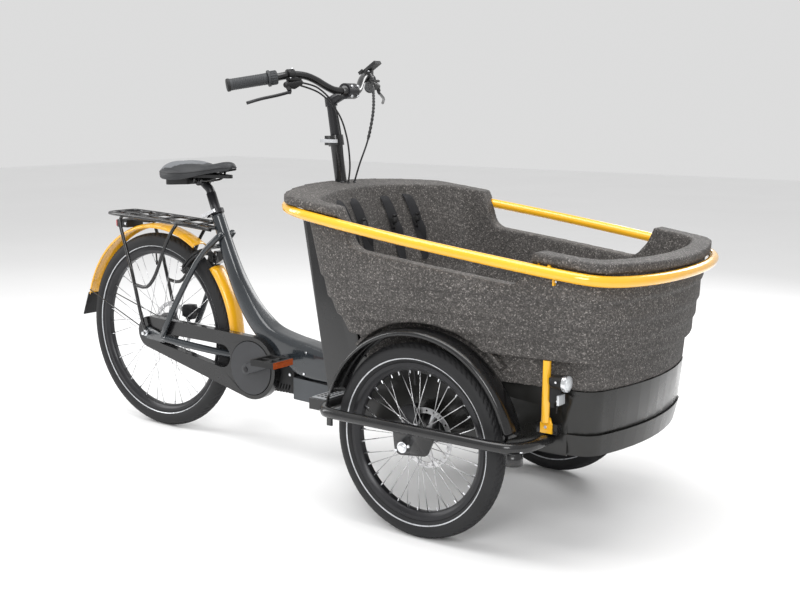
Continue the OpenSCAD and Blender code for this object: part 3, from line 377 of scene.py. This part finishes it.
def body_of(name):
    """The moving body that a CAD node belongs to."""
    return next(b for b, nodes in frame["record"]["behaviour"]["bodies"].items() if name in nodes)


def copied(name, material, angle=35, bevel=0.0, voxel=0.0, rounds=0, parts=()):
    """A finer copy of a CAD node. parts are (material, test of a face's centre and normal)."""
    source = frame["nodes"][name]
    obj = bpy.data.objects.new(name + "_skin", source.data.copy())
    bpy.context.collection.objects.link(obj)
    obj.matrix_world = source.matrix_world.copy()
    bpy.context.view_layer.update()
    obj.data.transform(obj.matrix_world)
    obj.matrix_world = Matrix.Identity(4)
    tidy_mesh(obj, angle)
    if voxel:
        remesh = obj.modifiers.new("remesh", "REMESH")
        remesh.mode = "VOXEL"
        remesh.voxel_size = voxel
        soften = obj.modifiers.new("soften", "SMOOTH")
        soften.factor = 0.5
        soften.iterations = rounds
        bake(obj)
        tidy_mesh(obj, 60)
    if bevel:
        edge = obj.modifiers.new("edge", "BEVEL")
        edge.width = bevel
        edge.segments = 2
        edge.limit_method = "ANGLE"
        edge.angle_limit = math.radians(40)
        edge.harden_normals = True
    obj.data.materials.clear()
    obj.data.materials.append(material)
    for k, (extra, test) in enumerate(parts):
        obj.data.materials.append(extra)
        for face in obj.data.polygons:
            if test(face.center, face.normal):
                face.material_index = k + 1
    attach(obj, body_of(name))
    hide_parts(name)
    return obj


def bake(obj):
    """Puts an object's modifiers into its mesh."""
    graph = bpy.context.evaluated_depsgraph_get()
    data = bpy.data.meshes.new_from_object(obj.evaluated_get(graph))
    obj.modifiers.clear()
    obj.data = data


# ---------------------------------------------------------------- wheels

def tyre(name, body, x, y, z, r, replaced, stripe_angle):
    """A tyre with a grooved tread and a reflective stripe on each wall."""
    bead_angle = 145
    tread_angle = 50
    half_stripe = 3.4
    blocks = 84
    steps_in_block = 6
    around = blocks * steps_in_block
    wall = [tread_angle + (bead_angle - tread_angle) * k / 14 for k in range(1, 15)]
    tread = [-tread_angle + 2.5 * k for k in range(int(2 * tread_angle / 2.5) + 1)]
    angles = [-a for a in reversed(wall)] + tread + wall
    centre_r = r - TYRE_R
    shape = Shape()
    verts = []
    for i in range(around):
        turn = 2 * math.pi * i / around
        for a in angles:
            share = (i / steps_in_block + abs(a) / 36) % 1
            cut = 0
            if abs(a) <= tread_angle - 2.5:
                if abs(a) > 10 and share < 0.3:
                    cut = 1.5
                if 6 <= abs(a) <= 9 or 28 <= abs(a) <= 31:
                    cut = 1.3
            section = TYRE_R - cut
            reach = centre_r + section * math.cos(math.radians(a))
            verts.append(at(x + reach * math.cos(turn), y + section * math.sin(math.radians(a)),
                            z + reach * math.sin(turn)))
    n = len(angles)
    plain, striped = [], []
    for i in range(around):
        for j in range(n - 1):
            a, b = i * n, (i + 1) % around * n
            face = [a + j, a + j + 1, b + j + 1, b + j]
            middle = abs(angles[j] + angles[j + 1]) / 2
            (striped if abs(middle - stripe_angle) < half_stripe else plain).append(face)
    shape.add(verts, plain + striped)
    shape.slots = [0] * len(plain) + [1] * len(striped)
    lips = []
    for reach, side in ((r - 49, -15.6), (r - 50, -12), (r - 50, 12), (r - 49, 15.6)):
        lips.append([at(x + reach * math.cos(t), y + side, z + reach * math.sin(t))
                     for t in (2 * math.pi * k / 96 for k in range(96))])
    shape.rings(lips, caps=False)
    return shape.object(name, body, [RUBBER, STRIPE], replaced)


def nipples(name, body, x, y, z, r):
    """Spoke nipples and the valve."""
    count = 36
    shape = Shape()
    for k in range(count):
        turn = 2 * math.pi * k / count
        side = 1 if k % 2 == 0 else -1
        out = Vector((math.cos(turn), 0, math.sin(turn)))
        foot = at(x, y + side * 3.6, z) + out * (r - 70) / 1000
        shape.rod(foot, foot - out * 0.011, 0.0021, sides=10)
    turn = math.radians(95)
    out = Vector((math.cos(turn), 0, math.sin(turn)))
    foot = at(x, y, z) + out * (r - 70) / 1000
    shape.rod(foot, foot - out * 0.034, 0.0028, sides=16, slot=1)
    shape.rod(foot - out * 0.026, foot - out * 0.040, 0.0040, sides=16, slot=1)
    return shape.object(name, body, [ALLOY, BLACK_PLASTIC])


# Each wheel's name, body, place, radius, and the angle of its stripe round the tyre's section.
WHEELS = [
    ("rear", "rear_wheel", 0, 0, REAR_Z, 128),
    ("right", "right_wheel", FRONT_X, -HALF_TRACK, FRONT_Z, 114),
    ("left", "left_wheel", FRONT_X, HALF_TRACK, FRONT_Z, 114)]
for name, body, x, y, r, stripe_angle in WHEELS:
    tyre(name + "_tyre_tread", body, x, y, r, r, [name + "_tyre"], stripe_angle)
    copied(name + "_rim", BLACK_ALLOY, angle=25, bevel=0.0008)
    nipples(name + "_nipples", body, x, y, r, r)
    copied(name + "_spokes", STEEL, angle=50)


def is_rotor(y, half=1.4):
    """A test for the faces of a brake rotor, which stands y mm out from the middle."""
    return lambda c, n: abs(abs(c.y) * 1000 - y) < half


copied("rear_hub", BLACK_ALLOY, bevel=0.0008, parts=[(STEEL, is_rotor(48))])
for name in ("right_hub", "left_hub"):
    copied(name, BLACK_ALLOY, bevel=0.0006, parts=[(STEEL, is_rotor(HALF_TRACK - 34))])


# ---------------------------------------------------------------- front unit

def mm_x(point):
    """How far a point is ahead of the rear axle, in mm."""
    return (point.x - REAR_X) * 1000


def is_bevel(c, n):
    """The oblique strips between the shell's rear face and its sides."""
    return abs(n.z) < 0.4 and 0.45 < abs(n.y) < 0.8 and n.x < -0.45


copied("cargo_box", FOAM, voxel=0.0042, rounds=3)
copied("box_rail", YELLOW, voxel=0.0026, rounds=4)
copied("column_shell", SHELL_BLACK, bevel=0.003, parts=[(SHELL_GREY, is_bevel)])
copied("front_chassis", BLACK_PAINT, bevel=0.002)
copied("front_skirt", SKIRT_BLACK, bevel=0.0012)
copied("front_fenders", BLACK_PAINT, angle=60)
copied("guard_bars", BLACK_PAINT, angle=50)
copied("rail_struts", YELLOW, bevel=0.0006,
       parts=[(ALLOY, lambda c, n: abs(c.y) > 0.3015 and 0.331 < c.z < 0.345)])
copied("headlights", BLACK_PLASTIC, bevel=0.0006,
       parts=[(CLEAR, lambda c, n: mm_x(c) > 1729.9 or (1712 < mm_x(c) < 1718.5 and c.z < 0.4285))])
copied("front_calipers", BLACK_ALLOY, bevel=0.0015)


def lamp_details():
    """The lamp's silver ring, its domed glass, its cable and the screws of its bracket."""
    shape = Shape()
    for side in (-1, 1):
        mouth = at(1729, side * 318, 458)
        shape.turned(mouth, X, [(0.0178, -0.004), (0.0206, -0.004), (0.0212, 0.001), (0.0206, 0.0065),
                                (0.0186, 0.0072), (0.0178, 0.004)], 48)
        glass = [(0.0176, 0.004), (0.016, 0.0085), (0.011, 0.0105), (0.004, 0.0112)]
        shape.turned(mouth, X, glass, 48, 1)
        for z in (410, 445):
            shape.bolt(at(1706, side * 314.5, z), (0, side, 0), 0.0035, 0.0025)
        shape.bolt(at(1712, side * 338.5, 462), (0, side, 0), 0.0032, 0.002)
        shape.tube(path([(1697, side * 314, 446), (1700, side * 306, 425), (1694, side * 296, 398),
                         (1688, side * 286, 372)], 6), 0.0022, 10, 2)
    return shape.object("lamp_details", "front_unit", [ALLOY, CLEAR, HOSE_RUBBER])


def box_brackets():
    """Yellow brackets that hold the rail at the front end of each entry dip."""
    shape = Shape()
    for side in (-1, 1):
        y = side * 340
        shape.band(path([(1662, y, 738), (1672, y, 748), (1690, y, 742), (1702, y, 716), (1704, y, 694)], 5),
                   0.022, 0.004, Y)
        shape.tube(path([(1690, side * 342, 742), (1694, side * 352, 738), (1698, side * 360, 730)], 4),
                   0.005, 14)
        shape.bolt(at(1706.5, y, 704), (1, 0, 0), 0.005, 0.003, 1)
    return shape.object("box_brackets", "front_unit", [YELLOW, ALLOY])


def fasteners():
    """Nuts of the front axles and bolts of their plates and of the guard bars."""
    shape = Shape()
    for side in (-1, 1):
        out = (0, side, 0)
        end = at(1330, side * 429, 256)
        shape.turned(end, out, [(0.0145, 0), (0.0145, 0.0012), (0.0105, 0.0012), (0.0105, 0.006),
                                (0.0075, 0.0075), (0.005, 0.0075)], 6 * 6)
        shape.bolt(at(1350, side * 429, 262), out, 0.0045, 0.003)
        shape.bolt(at(1312, side * 429, 246), out, 0.0045, 0.003)
        for x, z in ((1612, 301), (1660, 292)):
            shape.bolt(at(x, side * 404, z + 4), Z, 0.0045, 0.003)
    return shape.object("fasteners", "front_unit", [ALLOY])


def treads():
    """Perforated tread plates on both steps."""
    shape = Shape()
    for side in (-1, 1):
        shape.block(at(1004, side * 312, 319.2), (0.050, 0.104, 0.0024), 0.0008)
        for i in range(3):
            for j in range(6):
                spot = at(990 + i * 14, side * (274 + j * 15), 320.3)
                shape.turned(spot, Z, [(0.0047, 0), (0.0047, 0.0006), (0.0036, 0.0006), (0.0034, 0.0001)],
                             20, 1)
    return shape.object("treads", "front_unit", [TREAD_GREY, BLACK_PLASTIC])


def arch_covers():
    """Skins inside the box over both wheel arches, where the arches are cut through its walls."""
    shape = Shape()
    hub_z, floor_z = 256, 466
    for side in (-1, 1):
        rings = []
        for degrees in range(44, 137, 2):
            turn = math.radians(degrees)
            low = (floor_z - hub_z) / math.sin(turn)
            profile = ((low, 306.5), (low, 299.5), (306, 299.5), (312, 301), (316, 305), (317, 310),
                       (317, 330), (309, 330), (309, 308), (307.5, 306.5))
            rings.append([at(1330 + r * math.cos(turn), side * y, hub_z + r * math.sin(turn))
                          for r, y in profile])
        shape.rings(rings)
    return shape.object("arch_covers", "front_unit", [FOAM])


def inside_back(y, z):
    """Depth of the box's back wall on the inside, in mm."""
    return 841 + (1000 - z) * (945 - 841) / 390 + y * y / 1080


def harness():
    """Shoulder belts: each leaves its slot, hangs down the back wall with a slack turn, and has a
    buckle and a loose end. The CAD belts are hidden."""
    belt_width, tail_width = 0.030, 0.024
    for k, y in enumerate((-165, -75, 75, 165)):
        points = []
        for z, out, shift in ((838, -6, 0), (826, 5, 1), (806, 10, 5), (776, 13, 10), (742, 12, 15),
                              (704, 11, 19), (668, 10, 22), (640, 9, 24)):
            points.append((inside_back(abs(y), z) + out, y + shift, z))
        strap = Shape()
        strap.band(path(points, 5), belt_width, 0.0016, Y, 0.55)
        belt = strap.object("belt_%d" % k, "front_unit", [WEBBING])
        buckle = Shape()
        turn = Matrix.Rotation(math.radians(18), 4, "Z") @ Matrix.Rotation(math.radians(-14), 4, "Y")
        z = 764
        middle = Vector((inside_back(abs(y), z) + 17, y + 12, z))
        bars = [(0, (0.010, 0.038, 0.014)), (-20, (0.007, 0.033, 0.006)), (14, (0.006, 0.036, 0.005))]
        for height, size in bars:
            buckle.block(at(middle.x, middle.y, middle.z + height), size, 0.0022, turn)
        for side in (-1, 1):
            rail = at(middle.x, middle.y + side * 16.5, middle.z - 8)
            buckle.block(rail, (0.006, 0.004, 0.030), 0.0015, turn)
        clip = buckle.object("buckle_%d" % k, "front_unit", [BLACK_PLASTIC])
        tail = Shape()
        ends = [(middle.x + 4, middle.y + 3, 756), (middle.x + 11, middle.y + 8, 730),
                (middle.x + 10, middle.y + 12, 700), (middle.x + 5, middle.y + 18, 672)]
        tail.band(path(ends, 5), tail_width, 0.0014, Y, 0.9)
        loose = tail.object("belt_end_%d" % k, "front_unit", [WEBBING])
    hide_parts("child_harness")


lamp_details()
box_brackets()
fasteners()
treads()
arch_covers()
harness()

# ---------------------------------------------------------------- rear frame

copied("main_frame", SLATE, voxel=0.0032, rounds=6)
copied("rear_stays", SLATE, angle=50)
copied("battery_cover", GREY_PLASTIC, bevel=0.002)
copied("drive_motor", BLACK_PLASTIC, bevel=0.002)
copied("rear_rack", BLACK_PAINT, angle=50)
copied("rear_light", BLACK_PLASTIC, bevel=0.0015, parts=[(RED_LENS, lambda c, n: mm_x(c) < -175.5)])
copied("rear_fender", YELLOW_FENDER, angle=60)
copied("mudflap", RUBBER, bevel=0.001)
copied("fender_stays", BLACK_PAINT, angle=50)
copied("frame_lock", BLACK_PLASTIC, angle=30, bevel=0.001)
copied("lock_shackle", STEEL, angle=40)
copied("belt_guard", SHELL_BLACK, angle=30, bevel=0.0008)
copied("drive_belt", RUBBER)
copied("rear_axle", ALLOY, bevel=0.0006)
copied("rear_caliper", BLACK_ALLOY, bevel=0.0015)
copied("seat_collar", BLACK_ALLOY, bevel=0.0008)
copied("seat_lever", ALLOY, bevel=0.0008)
copied("seatpost", BLACK_ALLOY, angle=50)
copied("saddle_rails", BLACK_PAINT, angle=50)
copied("saddle_base", BLACK_PLASTIC, bevel=0.002)
copied("crank_set", DISC_GREY, bevel=0.002)
copied("front_pulley", DISC_GREY, bevel=0.0006)
copied("rear_pulley", BLACK_ALLOY)
for name in ("pedal_right", "pedal_left"):
    low, high = (Vector(c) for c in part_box(name))
    copied(name, BLACK_PLASTIC, bevel=0.0008,
           parts=[(AMBER, lambda c, n, a=low.x, b=high.x: min(c.x - a, b - c.x) < 0.0021)])


def saddle():
    """A crowned saddle whose skirt hangs deepest at the rear, with a paler seat panel."""
    # How far ahead of the rear axle, half the width, the top's height and the skirt's lower edge.
    sections = [
        (73, 44, 893, 881), (76, 56, 900, 875), (82, 67, 905, 871), (92, 79, 911, 866),
        (112, 89, 916, 861),
        (140, 94, 918, 859), (170, 93, 917, 859), (200, 84, 913, 863), (226, 66, 909, 870),
        (252, 48, 909, 877), (284, 36, 914, 883), (316, 29, 919, 888), (338, 22, 917, 891),
        (348, 15, 912, 895), (352, 8, 907, 899)]
    steps = 6
    dense = smooth([Vector(s[:3]) for s in sections], steps)
    lows = smooth([Vector((s[0], s[3], 0)) for s in sections], steps)
    across = 40
    rings = []
    for upper, lower in zip(dense, lows):
        x, half, top = upper
        bottom = lower.y
        ring = []
        for k in range(across + 1):
            u = -1 + 2 * k / across
            edge = abs(u) ** 3.4
            channel = 3.2 * math.exp(-(u * half / 13) ** 2) * min(1, max(0, (x - 96) / 40)) * (
                min(1, max(0, (330 - x) / 60)))
            ring.append((x, u * half, top - (top - bottom) * 0.62 * edge - channel))
        for u, v in ((1.0, 0.86), (0.985, 1.0), (0.93, 1.0), (0.88, 0.8)):
            ring.append((x, u * half, top - (top - bottom) * v))
        for u, v in ((-0.88, 0.8), (-0.93, 1.0), (-0.985, 1.0), (-1.0, 0.86)):
            ring.append((x, u * half, top - (top - bottom) * v))
        rings.append([at(*p) for p in ring])
    shape = Shape()
    shape.rings(rings)
    pad = shape.object("saddle_cover", "saddle", [VINYL, PALE_VINYL], ["saddle_pad"], angle=70)
    for face in pad.data.polygons:
        half = 70 - max(0, mm_x(face.center) - 150) * 0.75
        if face.normal.z > 0.6 and mm_x(face.center) < 214 and abs(face.center.y * 1000) < half + 8:
            face.material_index = 1
    piping = Shape()
    for side in (-1, 1):
        line = []
        for upper, lower in zip(dense, lows):
            x, half, top = upper
            line.append((x, side * half * 0.995, top - (top - lower.y) * 0.64))
        piping.tube([at(*p) for p in line], 0.0013, 8)
    piping.object("saddle_piping", "saddle", [BLACK_PLASTIC])
    return pad


def frame_details():
    """Bolts of the beam, the motor, the rack, the axle plates and the cranks, and the lamp's screws."""
    shape = Shape()
    for x, z in ((683, 347), (674, 279)):
        shape.bolt(at(x, -43, z), (0, -1, 0), 0.004, 0.002)
    shape.bolt(at(607, -30.5, 265), (0, -1, 0), 0.005, 0.003)
    for x in (-160, -133):
        shape.bolt(at(x, -36, 694), (0, -1, 0), 0.0052, 0.0025)
    for side in (-1, 1):
        shape.bolt(at(272, side * 36, 700), (0, side, 0), 0.0055, 0.003)
        shape.bolt(at(76, side * 73, 322), (0, side, 0), 0.006, 0.003)
    shape.bolt(at(crank_x, -86, crank_z), (0, -1, 0), 0.009, 0.003, 1)
    shape.bolt(at(crank_x, 86, crank_z), (0, 1, 0), 0.009, 0.003, 1)
    return shape.object("frame_bolts", "frame", [ALLOY, BLACK_ALLOY])


def lock_plates():
    """The ring lock's key barrel and the screws of its case."""
    shape = Shape()
    angle = math.radians(53.5)
    middle = Vector((300 * math.cos(angle), 0, 334 + 300 * math.sin(angle)))
    out = Vector((math.cos(angle), 0, math.sin(angle)))
    barrel = [(0.012, -0.004), (0.012, 0.003), (0.0105, 0.0045)]
    shape.turned(at(middle.x, 58, middle.z), (0, 1, 0), barrel, 32)
    shape.bolt(at(middle.x, 62, middle.z), (0, 1, 0), 0.006, 0.002, 1)
    for side in (-1, 1):
        spot = middle - out * 6
        shape.bolt(at(spot.x, side * 56, spot.z), (0, side, 0), 0.0045, 0.002, 1)
    return shape.object("lock_plates", "frame", [BLACK_PLASTIC, ALLOY])


crank_low, crank_high = (Vector(c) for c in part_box("front_pulley"))
crank_x = mm_x((crank_low + crank_high) / 2)
crank_z = (crank_low.z + crank_high.z) * 500
saddle()
frame_details()
lock_plates()

# ---------------------------------------------------------------- handlebar

GRIP_IN = Vector((738, 214, 1180))
GRIP_OUT = Vector((650, 325, 1156.5))
GRIP_LENGTH = (GRIP_OUT - GRIP_IN).length

copied("stem_post", BLACK_ALLOY, bevel=0.0006)
copied("handlebar", BLACK_PAINT, angle=50)
copied("bar_controls", BLACK_PLASTIC, bevel=0.001)
copied("twist_shifter", GRIP_RUBBER, bevel=0.001)
copied("brake_lever_right", BLACK_ALLOY, angle=50)
copied("brake_lever_left", BLACK_ALLOY, angle=50)
copied("stem_lever", ALLOY, bevel=0.0008)


def grips():
    """Rubber grips with fine ribs, a smooth collar and a black end ring."""
    shape = Shape()
    for side, start in ((-1, 32), (1, 4)):
        foot = at(GRIP_IN.x, side * GRIP_IN.y, GRIP_IN.z)
        tip = at(GRIP_OUT.x, side * GRIP_OUT.y, GRIP_OUT.z)
        axis = (tip - foot).normalized()
        profile = [(0.0114, start / 1000), (0.0158, start / 1000), (0.0165, start / 1000 + 0.001)]
        place = start + 12
        while place < GRIP_LENGTH - 10:
            for r, step in ((16.5, 0), (15.7, 0.7), (15.7, 2.0), (16.5, 2.7)):
                profile.append((r / 1000, (place + step) / 1000))
            place += 5
        end = GRIP_LENGTH - 4
        profile += [(0.0165, end / 1000)]
        shape.turned(foot, axis, profile, 40)
        end_ring = [(0.0160, 0), (0.0182, 0.0006), (0.0185, 0.0065), (0.0168, 0.0088), (0.006, 0.009)]
        shape.turned(foot, axis, [(r, end / 1000 + offset) for r, offset in end_ring], 40, 1)
    return shape.object("ribbed_grips", "handlebar_unit", [GRIP_RUBBER, BLACK_PLASTIC],
                        ["bar_grips"])


def shifter_ribs():
    """Raised ribs round the turning grip."""
    shape = Shape()
    foot = at(GRIP_IN.x, -GRIP_IN.y, GRIP_IN.z)
    axis = (at(GRIP_OUT.x, -GRIP_OUT.y, GRIP_OUT.z) - foot).normalized()
    side = axis.cross(Z).normalized()
    other = axis.cross(side)
    count = 18
    for k in range(count):
        turn = 2 * math.pi * k / count
        out = side * math.cos(turn) + other * math.sin(turn)
        shape.rod(foot + axis * 0.006 + out * 0.0188, foot + axis * 0.0235 + out * 0.0188, 0.0016, sides=8)
    return shape.object("shifter_ribs", "shifter", [GRIP_RUBBER])


def controls():
    """The display's glass and button, the brake bodies' lids, the levers' lugs, and clamp bolts."""
    shape = Shape()
    tilt = Matrix.Rotation(math.radians(-33), 4, "Y")
    face = Vector((750.6, 196, 1218.6))
    shape.block(at(*face), (0.052, 0.027, 0.0014), 0.0005, tilt, 1)
    shape.block(at(face.x - 24, face.y - 17, face.z - 17), (0.018, 0.006, 0.010), 0.002, tilt)
    for side in (-1, 1):
        shape.block(at(773, side * 188, 1174), (0.016, 0.044, 0.008), 0.002,
                    Matrix.Rotation(side * math.radians(13), 4, "Z"))
        shape.bolt(at(768, side * 172, 1178), Z, 0.003, 0.0015, 2)
        shape.bolt(at(775, side * 204, 1177), Z, 0.003, 0.0015, 2)
        shape.bolt(at(758, side * 178, 1203), Z, 0.0034, 0.002, 2)
        shape.rod(at(766, side * 212, 1160), at(774, side * 208, 1143), 0.0062)
        shape.rod(at(770, side * 203, 1156), at(775, side * 206, 1139), 0.0042)
    for y in (-14, 14):
        for z in (1156, 1128):
            shape.bolt(at(843, y, z), X, 0.004, 0.004, 2)
    return shape.object("control_details", "handlebar_unit", [BLACK_PLASTIC, SCREEN, ALLOY])


# From the brake bodies to the rim of the box: two lines on the right and one on the left.
HOSES = [
    [(780, -163, 1165), (800, -114, 1150), (814, -64, 1106),
     (816, -38, 1040), (820, -28, 950), (816, -26, 876)],
    [(775, -168, 1158), (802, -106, 1134), (824, -54, 1080),
     (832, -24, 1010), (834, -12, 930), (826, -10, 874.5)],
    [(780, 163, 1165), (814, 128, 1140), (842, 90, 1080),
     (850, 54, 1000), (838, 30, 930), (822, 24, 875)]]


def hoses():
    """Brake hoses and the shifter's cable. The left hose has a spiral wrap on its upper part."""
    shape = Shape()
    for route in HOSES:
        shape.tube(path(route, 10), 0.0026, 12)
    wrapped = path(HOSES[2], 40)[6:120]
    pitch = 6
    turns = 2 * math.pi * len(wrapped) / pitch
    shape.tube(wrapped, lambda share: 0.0042 + 0.0007 * math.sin(share * turns), 14)
    for route in HOSES:
        shape.turned(at(*route[-1]), Z, [(0.0030, 0.004), (0.0042, 0.003), (0.0050, 0.0)], 20)
    made = shape.object("hose_bundle", None, [HOSE_RUBBER], ["brake_hoses"])
    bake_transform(made)
    return made


grips()
shifter_ribs()
controls()
hoses()


# ---------------------------------------------------------------- light, floor and camera

def area_light(name, place, aim, size, power):
    """A soft rectangular light that faces `aim`."""
    data = bpy.data.lights.new(name, "AREA")
    data.shape = "RECTANGLE"
    data.size, data.size_y = size
    data.energy = power
    lamp = bpy.data.objects.new(name, data)
    bpy.context.collection.objects.link(lamp)
    lamp.location = place
    lamp.rotation_euler = (Vector(aim) - Vector(place)).to_track_quat("-Z", "Y").to_euler()


floor_data = bpy.data.meshes.new("floor")
reach = 14
floor_data.from_pydata([(-reach, -reach, 0), (reach, -reach, 0), (reach, reach, 0), (-reach, reach, 0)],
                       [], [[0, 1, 2, 3]])
floor = bpy.data.objects.new("floor", floor_data)
bpy.context.collection.objects.link(floor)
floor_data.materials.append(grained("floor_paper", (0.92, 0.92, 0.92), 0.9, scale=4, vary=0.01, bump=0.02))
area_light("top", (0.2, -0.6, 3.4), (0, 0, 0.5), (3.0, 2.0), 85)
area_light("key", (2.2, -3.4, 2.4), (0, 0, 0.5), (1.6, 1.6), 75)
area_light("side", (-3.4, -1.4, 2.0), (0, 0, 0.5), (1.0, 2.4), 45)
area_light("far", (0.5, 3.4, 2.4), (0, 0, 0.6), (2.6, 1.2), 55)

world = bpy.data.worlds.new("studio")
bpy.context.scene.world = world
world.use_nodes = True
world.node_tree.nodes["Background"].inputs["Color"].default_value = (1, 1, 1, 1)
world.node_tree.nodes["Background"].inputs["Strength"].default_value = 0.72

lens = bpy.data.cameras.new("camera")
lens.lens = 53.17
lens.sensor_width = 36
camera = bpy.data.objects.new("camera", lens)
bpy.context.collection.objects.link(camera)
camera.location = at(3013.2, -2752.6, 1123.0)
camera.rotation_euler = (Matrix.Rotation(math.radians(36.047), 4, "Z")
                         @ Matrix.Rotation(math.radians(80.297), 4, "X")
                         @ Matrix.Rotation(math.radians(0.237), 4, "Z")).to_euler()
bpy.context.scene.camera = camera
bpy.context.scene.view_settings.view_transform = "Standard"
